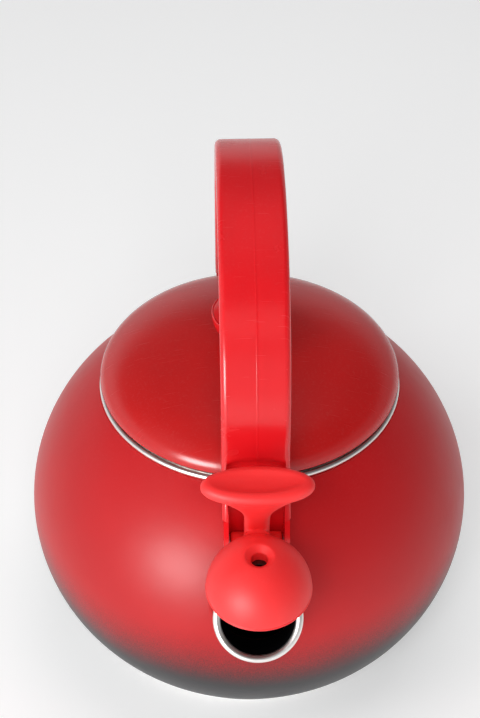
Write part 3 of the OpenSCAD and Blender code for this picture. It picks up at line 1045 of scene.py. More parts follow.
@dataclass
class Vessel:
    """Belly, rim, base and spout.

    Attributes:
        layout: Shared sizes.
        steps: Stretches along the belly's outline.
        columns: Columns round the belly.
        hole_r: Radius of the hole under the spout.
        spout_root: Radius that the spout reaches at its root.
        weld: Radius of the fillet between spout and belly.
        sleeve: Depth of the mouth's inner sleeve.
        rim_wall: Thickness of the rim's sheet.
        ring_wall: Thickness of the mouth ring's sleeve.
        capsule_wall: Thickness of the base capsule's sheet.
    """

    layout: Layout
    steps: int = 96
    columns: int = 192
    hole_r: float = 17.1 * MM
    spout_root: float = 19.6 * MM
    weld: float = 3.2 * MM
    sleeve: float = 7 * MM
    rim_wall: float = 0.8 * MM
    ring_wall: float = 0.7 * MM
    capsule_wall: float = 0.8 * MM

    def build(self) -> None:
        """Makes every piece of the vessel."""
        self.belly()
        self.rim()
        self.base()
        self.spout()
        self.spout_ring()

    def belly(self) -> None:
        """Oval shell with a rounded foot, a plain edge under the rim and a hole at the spout."""
        lay = self.layout
        top = lay.rim_z - lay.roll_r
        wall = lay.shell
        outer = oval(lay.belly_r, lay.belly_h, lay.belly_z, lay.base_h + 1.2 * MM, top, self.steps)
        inner_r, inner_h = lay.belly_r - wall, lay.belly_h - wall
        inner = oval(inner_r, inner_h, lay.belly_z, top, lay.base_h + wall, self.steps)
        foot_r = outer[0, 0] - 1.6 * MM
        foot = arc((foot_r - 0.4 * MM, lay.base_h + 1.2 * MM), 1.2 * MM, -90, -35, 6)
        profile = np.concatenate([[[0.0, lay.base_h]], foot, outer, inner, [[0.0, lay.base_h + wall]]])
        slots = np.zeros(len(profile), np.int32)
        slots[1 + len(foot) + len(outer) :] = 1
        piece = make_piece("kettle_belly", [turned(profile, self.columns, closed=False, slots=slots)])
        cut(piece, rod(self.hole_r, -40 * MM, 0.0, 96), lay.spout_place())
        mount_piece(piece, Body.KETTLE, "body_shell", [Finishes.body, Finishes.lining])

    def rim(self) -> None:
        """Rolled ring whose inner edge turns down into the neck."""
        lay = self.layout
        wall = self.rim_wall
        seat = lay.rim_z - lay.roll_r + wall
        roll = arc((lay.rim_r, lay.rim_z), lay.roll_r, -150, 205, 40)
        down = rounded(
            [
                (lay.rim_r - lay.roll_r, seat + 0.1 * MM, 0.0),
                (lay.neck_r + wall + 0.3 * MM, seat, 0.5 * MM),
                (lay.neck_r, seat, 0.8 * MM),
                (lay.neck_r, lay.neck_low, 0.3 * MM),
                (lay.neck_r + wall, lay.neck_low, 0.3 * MM),
                (lay.neck_r + wall, seat - wall, 0.5 * MM),
                (lay.rim_r - lay.roll_r * 0.8, seat - wall, 0.0),
            ]
        )
        piece = make_piece("rim_ring_rolled", [turned(np.concatenate([roll, down]), self.columns)])
        mount_piece(piece, Body.KETTLE, "rim_ring", [Finishes.bright])

    def base(self) -> None:
        """Capsule under the body, with a rounded edge and shallow turned steps underneath."""
        lay = self.layout
        radius = lay.base_r
        step = 0.35 * MM
        under = [(0.0, step, 0.0), (16 * MM, step, 0.3 * MM), (16.6 * MM, 0.0, 0.3 * MM)]
        under += [(radius * 0.62, 0.0, 0.3 * MM), (radius * 0.63, step, 0.3 * MM)]
        under += [(radius * 0.72, step, 0.3 * MM), (radius * 0.73, 0.0, 0.3 * MM)]
        wall = self.capsule_wall
        edge = [(radius, 0.0, 1.8 * MM), (radius, lay.base_h, 0.5 * MM)]
        edge += [(radius - wall, lay.base_h, 0.2 * MM)]
        inside = [(radius - wall, wall, 0.2 * MM), (0.0, wall, 0.0)]
        profile = rounded(under + edge + inside)
        piece = make_piece("base_capsule_skin", [turned(profile, self.columns, closed=False)])
        mount_piece(piece, Body.KETTLE, "base_cover", [Finishes.base])

    def _drop(self, radius: np.ndarray, turn: np.ndarray) -> np.ndarray:
        """Depth below the mouth at which a line parallel to the spout's axis meets the belly.

        The oval's equation gives a quadratic in the depth, whose nearer root is taken.

        Args:
            radius: Distance of each line from the axis.
            turn: Angle of each line round the axis.

        Returns:
            The depth along each line.
        """
        lay = self.layout
        place = lay.spout_place()
        local = np.stack([radius * np.cos(turn), radius * np.sin(turn), np.zeros_like(turn)], axis=-1)
        start = local @ place[:3, :3].T + place[:3, 3] - np.array([0, 0, lay.belly_z])
        scale = 1 / np.array([lay.belly_r, lay.belly_r, lay.belly_h])
        o, d = start * scale, -place[:3, 2] * scale
        a, b, c = d @ d, o @ d, (o * o).sum(-1) - 1
        return (-b - np.sqrt(b * b - a * c)) / a

    def spout(self) -> None:
        """Tube whose root flares in a fillet onto the belly.

        Down each column the radius runs from the mouth to the root on a smooth step, and the last
        stretch follows a quarter circle outwards, so that it meets the belly's skin.
        """
        lay = self.layout
        columns = 128
        turn = np.linspace(0, 2 * math.pi, columns, endpoint=False)
        top = -0.8 * MM
        out_r, in_r = lay.mouth_r + 0.5 * MM, lay.mouth_r - 0.5 * MM
        depth = self._drop(np.full(columns, self.spout_root + self.weld), turn)
        rows = []
        for v in np.linspace(0, 1, 28):
            radius = np.full(columns, out_r + (self.spout_root - out_r) * smoothstep(v))
            rows.append((radius, top + (self.weld - depth - top) * v))
        for a in np.radians(np.linspace(8, 84, 10)):
            radius = np.full(columns, self.spout_root + self.weld * (1 - math.cos(a)))
            rows.append((radius, -depth + self.weld * (1 - math.sin(a))))
        edge = np.full(columns, self.spout_root + self.weld)
        rows.append((edge, -self._drop(edge, turn) - 0.3 * MM))
        bore = np.full(columns, in_r)
        bore_depth = self._drop(bore, turn)
        rows.append((bore, -bore_depth - 0.6 * MM))
        rows += [(bore, top + (-bore_depth - top) * v) for v in np.linspace(0.98, 0, 14)]
        r = np.stack([row[0] for row in rows])
        z = np.stack([np.broadcast_to(row[1], columns) for row in rows])
        points = np.stack([r * np.cos(turn), r * np.sin(turn), z], axis=2)
        slots = np.zeros(len(rows), np.int32)
        slots[-15:] = 1
        piece = make_piece("spout_stub", [Grid(points, wrap_rows=True, slots=slots)], lay.spout_place())
        mount_piece(piece, Body.KETTLE, "spout_tube", [Finishes.body, Finishes.lining])

    def spout_ring(self) -> None:
        """Rolled ring of the mouth with its inner sleeve."""
        lay = self.layout
        wall = self.ring_wall
        inner = lay.mouth_r - lay.mouth_roll
        roll = arc((lay.mouth_r, 0.0), lay.mouth_roll, -140, 160, 32)
        down = rounded(
            [
                (inner + 0.05 * MM, -0.2 * MM, 0.0),
                (inner, -self.sleeve, 0.2 * MM),
                (inner + wall, -self.sleeve, 0.2 * MM),
                (inner + wall, -1.4 * MM, 0.0),
            ]
        )
        slots = np.concatenate([np.zeros(len(roll), np.int32), np.ones(len(down), np.int32)])
        ring = turned(np.concatenate([roll, down]), 128, slots=slots)
        piece = make_piece("spout_mouth_ring", [ring], lay.spout_place())
        mount_piece(piece, Body.KETTLE, "spout_ring", [Finishes.bright, Finishes.lining])


# ---------------------------------------------------------------------------
# Lid
# ---------------------------------------------------------------------------


@dataclass
class Lid:
    """Domed lid with its skirt, knob and washer.

    Attributes:
        radius: Radius over the rolled edge.
        height: Height of the dome above the edge's centre.
        edge_z: Height of the edge's centre.
        hem: Radius of the rolled edge.
        wall: Thickness of the sheet.
        skirt_r: Outer radius of the skirt.
        skirt_wall: Thickness of its sheet.
        bead: Width by which its pressed bead stands out.
        bead_up: Height of the bead above the skirt's lower edge.
        knob_r: Radius of the knob.
        crown: Height of the knob's crowned top.
        screw_r: Radius of the screw's hole.
    """

    radius: float
    height: float
    edge_z: float
    skirt_r: float
    knob_r: float
    hem: float = 0.9 * MM
    wall: float = 1.0 * MM
    skirt_wall: float = 0.8 * MM
    bead: float = 2.2 * MM
    bead_up: float = 8.4 * MM
    crown: float = 4 * MM
    screw_r: float = 2 * MM

    @classmethod
    def read(cls) -> "Lid":
        """Measures the lid's nodes in the frame."""
        low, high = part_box("lid_shell")
        return cls(
            radius=high.x,
            height=high.z - low.z - cls.hem,
            edge_z=low.z + cls.hem,
            skirt_r=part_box("lid_skirt")[1].x - cls.bead,
            knob_r=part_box("lid_knob")[1].x,
        )

    def build(self) -> None:
        """Makes every piece of the lid."""
        self.shell()
        self.skirt()
        self.knob()
        self.washer()

    def shell(self) -> None:
        """Dome whose edge rolls inwards in a round hem."""
        top = self.edge_z + self.height
        outer = oval(self.radius, self.height, self.edge_z, self.edge_z, top, 72)
        inner_r, inner_h = self.radius - self.wall, self.height - self.wall
        inner = oval(inner_r, inner_h, self.edge_z, top, self.edge_z + 0.6 * MM, 72)
        hem = arc((self.radius - self.hem, self.edge_z), self.hem, -215, 0, 18)
        profile = np.concatenate([outer[:-1], [[0.0, top]], [[0.0, top - self.wall]], inner[1:], hem[:-1]])
        slots = np.zeros(len(profile), np.int32)
        slots[len(outer) : len(outer) + len(inner)] = 1
        piece = make_piece("lid_dome", [turned(profile, 192, closed=True, slots=slots)])
        mount_piece(piece, Body.LID, "lid_shell", [Finishes.lid, Finishes.lining])

    def skirt(self) -> None:
        """Collar under the dome, with a pressed bead that rests on the neck's seat."""
        low, high = (corner.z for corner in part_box("lid_skirt"))
        wall = self.skirt_wall
        bead_z = low + self.bead_up
        out, bead = self.skirt_r, self.skirt_r + self.bead
        profile = rounded(
            [
                (out - wall, low, 0.3 * MM),
                (out, low, 0.3 * MM),
                (out, bead_z, 0.3 * MM),
                (bead, bead_z, 0.38 * MM),
                (bead, bead_z + wall, 0.38 * MM),
                (out, bead_z + wall, 0.3 * MM),
                (out, high - 1.0 * MM, 0.2 * MM),
                (out - wall, high - 0.2 * MM, 0.2 * MM),
            ],
            closed=True,
        )
        piece = make_piece("lid_collar", [turned(profile, 192)])
        mount_piece(piece, Body.LID, "lid_skirt", [Finishes.bright])

    def knob(self) -> None:
        """Half ball with a gently crowned top and a crisp rounded edge between them."""
        low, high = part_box("lid_knob")
        mid = high.z - self.crown
        lower = math.degrees(math.asin((low.z - mid) / self.knob_r))
        ball = arc((0.0, mid), self.knob_r, lower, -3, 40)
        edge_r = 0.7 * MM
        lip = arc((self.knob_r - edge_r, mid + 0.1 * MM), edge_r, -3, 62, 8)
        curve = (self.knob_r**2 + self.crown**2) / (2 * self.crown)
        span = math.degrees(math.asin((self.knob_r - 0.9 * MM) / curve))
        top = arc((0.0, high.z - curve), curve, 90 - span, 90, 32)
        hole_top = low.z + 8 * MM
        foot = [(self.screw_r, hole_top, 0), (self.screw_r, low.z, 0.2 * MM)]
        foot += [(ball[0, 0] - 0.5 * MM, low.z, 0)]
        profile = np.concatenate([[[0.0, hole_top]], rounded(foot, 4), ball, lip, top])
        piece = make_piece("lid_knob_moulding", [turned(profile, 128, closed=False)])
        mount_piece(piece, Body.LID, "lid_knob", [Finishes.knob])

    def washer(self) -> None:
        """Thin dished washer between knob and dome."""
        low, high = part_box("knob_washer")
        profile = rounded(
            [
                (self.screw_r, low.z, 0.1 * MM),
                (high.x, low.z, 0.3 * MM),
                (high.x, high.z, 0.3 * MM),
                (self.screw_r, high.z, 0.1 * MM),
            ],
            4,
            closed=True,
        )
        piece = make_piece("knob_washer_disc", [turned(profile, 96)])
        mount_piece(piece, Body.LID, "knob_washer", [Finishes.bright])


# ---------------------------------------------------------------------------
# Handle
# ---------------------------------------------------------------------------


@dataclass
class Handle:
    """Arch strap, moulded in one piece with its two legs.

    Attributes:
        arch_r: Outer radius of the arch.
        arch_z: Height of the arch's centre.
        thick: Thickness of the strap.
        width: Width of the strap.
        edge: Radius of its rounded edges.
        seam_z: Height of the seam above the feet.
        front_reach: Reach of the front leg at the seam.
        rear_reach: Reach of the rear leg at the seam.
        slot_w: Width of the channel in the front leg.
        slot_floor: Depth of that channel near its top.
        slot_rise: Distance by which its floor moves outwards down the leg.
        slot_spread: Share by which the channel is wider halfway down the leg.
        slot_top: Share of the leg above the channel.
        slot_bow: Share of the leg by which it starts lower at its sides.
        slot_run: Share of the leg over which it reaches its full depth.
        step_in: Distance by which the legs' inner faces move outwards at the seams.
        line_h: Height of the mould line along the outer face.
        screw_z: Height of the screws at the inside of the legs.
        screw_r: Radius of their counterbores.
        screw_depth: Depth of those.
    """

    arch_z: float
    width: float
    seam_z: float
    front_reach: float
    rear_reach: float
    screw_z: float
    arch_r: float = 83 * MM
    thick: float = 11 * MM
    edge: float = 2.7 * MM
    slot_w: float = 23.6 * MM
    slot_floor: float = 5.0 * MM
    slot_rise: float = 8.2 * MM
    slot_spread: float = 0.1
    slot_top: float = 0.11
    slot_bow: float = 0.08
    slot_run: float = 0.3
    step_in: float = 2 * MM
    line_h: float = 0.1 * MM
    screw_r: float = 3.7 * MM
    screw_depth: float = 2.3 * MM

    @classmethod
    def read(cls) -> "Handle":
        """Measures the handle's nodes in the frame."""
        low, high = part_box("handle_grip")
        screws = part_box("handle_screws")
        return cls(
            arch_z=high.z - cls.arch_r,
            width=high.x - low.x,
            seam_z=low.z,
            front_reach=-low.y,
            rear_reach=high.y,
            screw_z=(screws[0].z + screws[1].z) / 2,
        )

    def build(self) -> None:
        """Makes the strap."""
        piece = make_piece("handle_strap", [Grid(self._sweep(self._stations(), self._section()))])
        fill_ends(piece)
        inner = self.arch_r - self.thick
        counterbore = rod(self.screw_r, inner - 2 * MM, inner + self.screw_depth, 48)
        for turn in (math.pi / 2, -math.pi / 2):
            cut(piece, counterbore, Matrix.Translation((0, 0, self.screw_z)) @ Matrix.Rotation(turn, 4, "X"))
        mount_piece(piece, Body.KETTLE, "handle_grip", [Finishes.grip])

    def _stations(self) -> dict[str, np.ndarray]:
        """Values along the strap, from the front seam over the top to the rear seam.

        Along a leg, s runs from 0 at the arch to 1 at the seam. The leg's outer face moves outwards
        by s squared times the difference in reach.

        Returns:
            Arrays: turn and drop of each station, outer and inner reach, and s on the front leg.
        """
        leg_h = self.arch_z - self.seam_z
        inner = self.arch_r - self.thick
        s = np.concatenate([np.linspace(1.0, 0.35, 30), np.linspace(0.34, 0.02, 28)])
        turn = np.linspace(0.0, math.pi, 121)
        step_in = self.step_in * np.clip((s - 0.86) / 0.14, 0, 1)
        front = self.arch_r + (self.front_reach - self.arch_r) * s**2
        rear = self.arch_r + (self.rear_reach - self.arch_r) * s**2
        none = np.zeros_like(turn)
        return {
            "turn": np.concatenate([np.zeros_like(s), turn, np.full_like(s, math.pi)]),
            "drop": np.concatenate([s * leg_h, none, s[::-1] * leg_h]),
            "outer": np.concatenate([front, none + self.arch_r, rear[::-1]]),
            "inner": np.concatenate([inner + step_in, none + inner, (inner + step_in)[::-1]]),
            "leg": np.concatenate([s, none, np.zeros_like(s)]),
        }

    def _section(self) -> dict[str, np.ndarray]:
        """Outline of the strap across its width, as shares that the sweep turns into places.

        Returns:
            Arrays: x across the strap, whether a point is on the outer face, the reach added by its
            rounded corner, the share of the channel's depth that it takes, and the mould line.
        """
        half, r = self.width / 2, self.edge
        wall = self.slot_w / 2
        near = wall + np.array([-0.03, -0.05, -0.2, -0.6, -1.2]) * MM
        across = np.concatenate(
            [
                np.array([half - r, wall - 0.01 * MM]),
                near,
                np.linspace(wall - 2 * MM, 1.5 * MM, 9),
                np.array([0.9, 0.6, 0.45, 0.3, 0.0]) * MM,
            ]
        )
        across = np.concatenate([across, -across[::-1]])
        corner = np.radians(np.linspace(0, 90, 9))
        outer_x = [half - r + r * np.cos(corner), across[1:-1], -(half - r) - r * np.sin(corner)]
        outer_add = [r * np.sin(corner), np.full(len(across) - 2, r), r * np.cos(corner)]
        x_out, add_out = np.concatenate(outer_x), np.concatenate(outer_add)
        inset = wall - np.abs(x_out)
        steps = np.array([0.0, 0.02, 0.04, 0.19, 0.6]) * MM
        share = np.interp(inset, steps, [0.0, 0.04, 0.93, 0.985, 1.0])
        line = self.line_h * np.exp(-(((x_out - 0.5 * MM) / (0.22 * MM)) ** 2))
        flat = np.linspace(-(half - r), half - r, 16)[1:-1]
        x_in = np.concatenate([-(half - r) - r * np.cos(corner), flat, half - r + r * np.sin(corner)])
        add_in = np.concatenate([-r * np.sin(corner), np.full_like(flat, -r), -r * np.cos(corner)])
        return {
            "x": np.concatenate([x_out, x_in]),
            "outer": np.concatenate([np.ones_like(x_out), np.zeros_like(x_in)]),
            "add": np.concatenate([add_out, add_in]),
            "share": np.concatenate([share, np.zeros_like(x_in)]),
            "line": np.concatenate([line, np.zeros_like(x_in)]),
        }

    def _sweep(self, path: dict[str, np.ndarray], section: dict[str, np.ndarray]) -> np.ndarray:
        """Places the section at every station.

        The reach of a point is the outer or inner face's reach, less or plus the corner radius, plus
        its place on the corner, less its share of the channel. The channel's depth rises on a smooth
        step along the leg that starts lower towards the sides. Reach and drop turn into y and z. The
        channel's walls move outwards by a share that grows and shrinks again along the leg.

        Args:
            path: Values along the strap.
            section: Values round the section.

        Returns:
            An array (stations, section points, 3).
        """
        r = self.edge
        on_outer = section["outer"][None] > 0.5
        base = np.where(on_outer, path["outer"][:, None] - r, path["inner"][:, None] + r)
        leg = path["leg"][:, None]
        half, wall = self.width / 2, self.slot_w / 2
        flat_x = section["x"][None]
        across = np.abs(flat_x)
        start = self.slot_top + self.slot_bow * (across / wall) ** 4
        ramp = smoothstep(np.clip((leg - start) / self.slot_run, 0, 1))
        depth = ramp * (self.slot_floor + (self.front_reach - self.arch_r - self.slot_rise) * leg**2)
        reach = base + section["add"][None] + section["line"][None] - section["share"][None] * depth
        turn = path["turn"][:, None]
        y = -reach * np.cos(turn)
        z = self.arch_z + reach * np.sin(turn) - path["drop"][:, None]
        spread = self.slot_spread * np.sin(math.pi * leg) ** 2
        moved = np.where(
            across < wall,
            across * (1 + spread),
            half - (half - across) * (half - wall * (1 + spread)) / (half - wall),
        )
        x = np.where(on_outer, np.sign(flat_x) * moved, flat_x)
        return np.stack([x, y, z], axis=2)


# ---------------------------------------------------------------------------
# Lever and whistle
# ---------------------------------------------------------------------------


@dataclass
class Lever:
    """Thumb lever: dished paddle, stalk, hub and the arm that carries the cap.

    Attributes:
        layout: Shared sizes.
        width: Width of the paddle.
        depth: Depth of the paddle.
        tilt: Tilt of the paddle towards the front, in radians.
        rim_r: Radius of the paddle's rounded rim.
        dish: Depth of its dish.
        flare_h: Height over which the stalk widens into the paddle.
        flare_power: Powers of the flare's growth in width and in depth.
        centre: Paddle's top centre, forward of and above the pivot.
        stalk: Half width and half depth of the stalk.
        hub_r: Radius of the hub.
        hub_half: Half length of the hub.
        bore: Radius of the hub's bore.
        ball_r: Radius of the ball that keeps the arm out of the cap.
        cell: Cell size of the joined skin.
    """

    layout: Layout
    width: float
    depth: float = 20 * MM
    tilt: float = math.radians(4)
    rim_r: float = 3.6 * MM
    dish: float = 2.1 * MM
    flare_h: float = 28 * MM
    flare_power: tuple[float, float] = (3.4, 1.4)
    centre: tuple[float, float] = (10 * MM, 46.8 * MM)
    stalk: tuple[float, float] = (5.4 * MM, 3.7 * MM)
    hub_r: float = 5 * MM
    hub_half: float = 10.9 * MM
    bore: float = 1.55 * MM
    ball_r: float = 21.2 * MM
    cell: float = 0.38 * MM

    def build(self) -> None:
        """Makes the lever as one skin that stops inside the cap's wall."""
        pivot = Matrix.Translation(self.layout.pivot)
        sheets = [self._tee(), self._hub(), self._arm()]
        piece = make_piece("thumb_lever_moulding", sheets, np.array(pivot))
        soften(piece, self.cell, 6)
        drill = rod(self.bore, -2 * self.hub_half, 2 * self.hub_half, 64)
        cut(piece, drill, pivot @ Matrix.Rotation(math.pi / 2, 4, "Y"))
        ball = turned(arc((0, 0), self.ball_r, -90, 90, 48), 96, closed=False)
        cut(piece, ball, self.layout.cap_place())
        mount_piece(piece, Body.LEVER, "thumb_lever", [Finishes.lever])

    def _tee(self) -> Grid:
        """Stalk that flares into the paddle, as stacked rounded ovals along a leaning line.

        Each ring is a superellipse. Its half sizes follow the stalk, then a flare that grows with
        a power of the height, then the paddle's rounded rim, and shrink over the dish to its
        lowest point in the middle.

        Returns:
            The closed sheet, in the pivot's own axes.
        """
        w, d = self.width / 2, self.depth / 2
        a0, b0 = self.stalk
        top, rim = self.centre[1], self.rim_r
        low = top - self.flare_h
        stem = [(a0, b0, h, 3.0) for h in np.linspace(2 * MM, low, 14)]
        lift = np.sin(np.linspace(0, 1, 30) * math.pi / 2) * 0.985
        wide, deep = (lift**power for power in self.flare_power)
        flare = np.stack(
            [
                a0 + (w - rim - a0) * wide,
                b0 + (d - 0.4 * rim - b0) * deep,
                low + (self.flare_h - 2 * rim) * lift,
                3.0 - wide,
            ],
            axis=1,
        )
        turn = np.radians(np.linspace(-60, 90, 16))
        out, up = rim * np.cos(turn), rim * np.sin(turn)
        edge = np.stack([w - rim + out, d - rim + out, top - rim + up, 2 + 0 * up], axis=1)
        k = np.linspace(0.97, 0.0, 24)
        sink = top - self.dish * (1 - k**3) ** 1.3
        dish = np.stack([(w - rim) * k, (d - rim) * k, sink, 2 + 0 * k], axis=1)
        rows = np.concatenate([[(0.0, 0.0, 2 * MM, 3.0)], stem, flare[1:], edge, dish])
        u = np.linspace(0, 2 * math.pi, 96, endpoint=False)
        side, front = superellipse(u, 2 / rows[:, 3, None])
        x, y = rows[:, 0, None] * side, rows[:, 1, None] * front
        h = np.broadcast_to(rows[:, 2, None], x.shape)
        lean = np.interp(rows[:, 2], [2 * MM, top - 12 * MM, top], [0.2, 0.86, 1.0])
        tip = np.interp(rows[:, 2], [top - 14 * MM, top - 5 * MM], [0.0, self.tilt])[:, None]
        turned_y = y * np.cos(tip) - (h - top) * np.sin(tip)
        turned_h = top + y * np.sin(tip) + (h - top) * np.cos(tip)
        return Grid(np.stack([x, turned_y - self.centre[0] * lean[:, None], turned_h], axis=2))

    def _hub(self) -> Grid:
        """Barrel across the kettle with rounded rims."""
        r, half, soft = self.hub_r, self.hub_half, 0.8 * MM
        profile = rounded([(0, -half, 0), (r, -half, soft), (r, half, soft), (0, half, 0)])
        grid = turned(profile, 64, closed=False)
        grid.points = grid.points[:, :, [2, 0, 1]]
        return grid

    def _arm(self) -> Grid:
        """Short arm from the hub to the cap's back: rounded boxes along a straight line."""
        start, end = np.array([0.0, 2 * MM]), np.array([12.5 * MM, 13.5 * MM])
        t = np.concatenate([[0, 0], np.linspace(0, 1, 14), [1, 1]])
        size = np.concatenate([[0.0, 0.7], np.ones(14), [0.7, 0.0]])
        u = np.linspace(0, 2 * math.pi, 48, endpoint=False)
        side, up = superellipse(u, 0.6)
        x = ((4.9 * MM + 1.2 * MM * t) * size)[:, None] * side
        off = ((3.4 * MM + 1.6 * MM * t) * size)[:, None] * up
        line = start + (end - start) * t[:, None]
        way = (end - start) / np.linalg.norm(end - start)
        forward = line[:, 0, None] - off * way[1]
        height = line[:, 1, None] + off * way[0]
        return Grid(np.stack([x, -forward, height], axis=2))


@dataclass
class Whistle:
    """Cap with its vent, the silicone seal and the two steel parts of the whistle.

    Attributes:
        layout: Shared sizes.
        radius: Radius of the cap.
        vent: Radius of the vent.
        dimple: Radius of the dimple round the vent.
        skirt_r: Inner radius of the cap's lip.
        seal_r: Radius of the bore for the seal.
        disc_r: Radius of the bore for the disc and the cup.
        seal_z: Height of the seal's lower face.
        disc_z: Height of the disc's lower face.
        cup_z: Height of the cup's upper face.
        hole: Radius of the holes in disc and cup.
        sheet: Thickness of disc and cup.
    """

    layout: Layout
    radius: float = 22 * MM
    vent: float = 3.5 * MM
    dimple: float = 6 * MM
    skirt_r: float = 20.2 * MM
    seal_r: float = 19.3 * MM
    disc_r: float = 15.5 * MM
    seal_z: float = 5.1 * MM
    disc_z: float = 8 * MM
    cup_z: float = 14 * MM
    hole: float = 1.5 * MM
    sheet: float = 0.6 * MM

    def build(self) -> None:
        """Makes the cap and its inner parts."""
        place = self.layout.cap_place()
        self.cap(place)
        self.seal(place)
        self.cup(place)

    def cap(self, place: np.ndarray) -> None:
        """Dome with a small lip line, a dimpled vent and the stepped bore of the whistle.

        Args:
            place: Matrix from the cap's axes to the frame.
        """
        r = self.radius
        rim_angle = math.degrees(math.acos((self.dimple + 1.1 * MM) / r))
        dome = arc((0, 0), r, 5.2, rim_angle, 64)
        bead = arc((r - 0.45 * MM, 0.55 * MM), 0.55 * MM, -80, 55, 10)
        lip = np.concatenate([bead, [[r - 0.22 * MM, 1.15 * MM], [r - 0.18 * MM, 1.4 * MM]]])
        top = r * math.sin(math.acos(self.dimple / r))
        funnel = rounded(
            [
                (dome[-1, 0], dome[-1, 1], 0),
                (self.dimple, top - 0.1 * MM, 1.2 * MM),
                (self.vent, top - 2.5 * MM, 0.5 * MM),
                (self.vent, self.cup_z, 0.2 * MM),
                (self.disc_r, self.cup_z, 0.2 * MM),
                (self.disc_r, self.disc_z, 0.2 * MM),
                (self.seal_r, self.disc_z, 0.2 * MM),
                (self.seal_r, self.seal_z, 0.1 * MM),
                (self.skirt_r, self.seal_z, 0.1 * MM),
                (self.skirt_r, 0.0, 0.4 * MM),
                (r - 0.35 * MM, 0.0, 0.0),
            ],
            8,
        )
        profile = np.concatenate([lip, dome, funnel[1:-1]])
        piece = make_piece("whistle_cap_dome", [turned(profile, 160)], place)
        mount_piece(piece, Body.LEVER, "whistle_cap", [Finishes.lever])

    def seal(self, place: np.ndarray) -> None:
        """Silicone ring with a raised sealing rib.

        Args:
            place: Matrix from the cap's axes to the frame.
        """
        low, high = self.seal_z + 0.05 * MM, self.disc_z
        out = self.seal_r - 0.1 * MM
        profile = rounded(
            [
                (13.5 * MM, high, 0.3 * MM),
                (13.5 * MM, low + 0.5 * MM, 0.3 * MM),
                (15.6 * MM, low + 0.5 * MM, 0.3 * MM),
                (16.4 * MM, low, 0.4 * MM),
                (18.4 * MM, low, 0.4 * MM),
                (out, low + 0.5 * MM, 0.3 * MM),
                (out, high, 0.2 * MM),
            ],
            5,
            closed=True,
        )
        piece = make_piece("whistle_seal_ring", [turned(profile, 128)], place)
        mount_piece(piece, Body.LEVER, "whistle_seal", [Finishes.seal])

    def cup(self, place: np.ndarray) -> None:
        """Pressed steel disc and cup, each with a centre hole in a shallow dimple.

        Args:
            place: Matrix from the cap's axes to the frame.
        """
        hole, out, t = self.hole, self.disc_r, self.sheet
        low, high = self.disc_z, self.cup_z
        disc = rounded(
            [
                (hole, low + 0.5 * MM, 0.1 * MM),
                (hole + 2 * MM, low, 0.8 * MM),
                (out, low, 0.2 * MM),
                (out, low + t, 0.2 * MM),
                (hole + 2 * MM, low + t, 0.8 * MM),
                (hole, low + 0.5 * MM + t, 0.1 * MM),
            ],
            5,
            closed=True,
        )
        # Disc and cup both take the dark grey steel finish, which is painted shade for what shows through
        # the vent.
        piece = make_piece("whistle_lower_disc", [turned(disc, 96)], place)
        mount_piece(piece, Body.LEVER, "whistle_disc", [Finishes.vent_shade_steel])
        cup = rounded(
            [
                (hole, high - t, 0.1 * MM),
                (out - t, high - t, 0.6 * MM),
                (out - t, low + t, 0.1 * MM),
                (out, low + t, 0.1 * MM),
                (out, high, 1.0 * MM),
                (hole, high, 0.1 * MM),
            ],
            5,
            closed=True,
        )
        piece = make_piece("whistle_upper_cup", [turned(cup, 96)], place)
        mount_piece(piece, Body.LEVER, "whistle_cup", [Finishes.vent_shade_steel])


# ---------------------------------------------------------------------------
# Pieces kept from the frame
# ---------------------------------------------------------------------------


@dataclass(frozen=True)
class KeptNode:
    """A frame node that is shown as it is, with softened edges.

    Attributes:
        node: Name of the node.
        finish: Its finish.
        bevel: Width of its softened edges.
    """

    node: str
    finish: Finish
    bevel: float

    def apply(self, frame: dict) -> None:
        """Paints the node and softens its edges.
        """
        piece = frame["nodes"][self.node]
        finish_piece(piece, [self.finish])
        modifier = piece.modifiers.new("soft_edges", "BEVEL")
        modifier.width = self.bevel
        modifier.segments = 3
        modifier.limit_method = "ANGLE"
        modifier.angle_limit = math.radians(32)
        modifier.harden_normals = True
        log.info("%s kept", self.node)


KEPT = (
    KeptNode("front_bracket", Finishes.grip, 0.45 * MM),
    KeptNode("rear_bracket", Finishes.grip, 0.9 * MM),
    KeptNode("base_core", Finishes.aluminium, 0.3 * MM),
    KeptNode("body_studs", Finishes.zinc, 0.15 * MM),
    KeptNode("bracket_screws", Finishes.zinc, 0.3 * MM),
    KeptNode("handle_core", Finishes.strip, 0.2 * MM),
    KeptNode("handle_screws", Finishes.zinc, 0.3 * MM),
    KeptNode("pivot_pin", Finishes.zinc, 0.25 * MM),
    KeptNode("pivot_washers", Finishes.zinc, 0.1 * MM),
    KeptNode("knob_screw", Finishes.zinc, 0.3 * MM),
)


# ---------------------------------------------------------------------------
# Studio
# ---------------------------------------------------------------------------


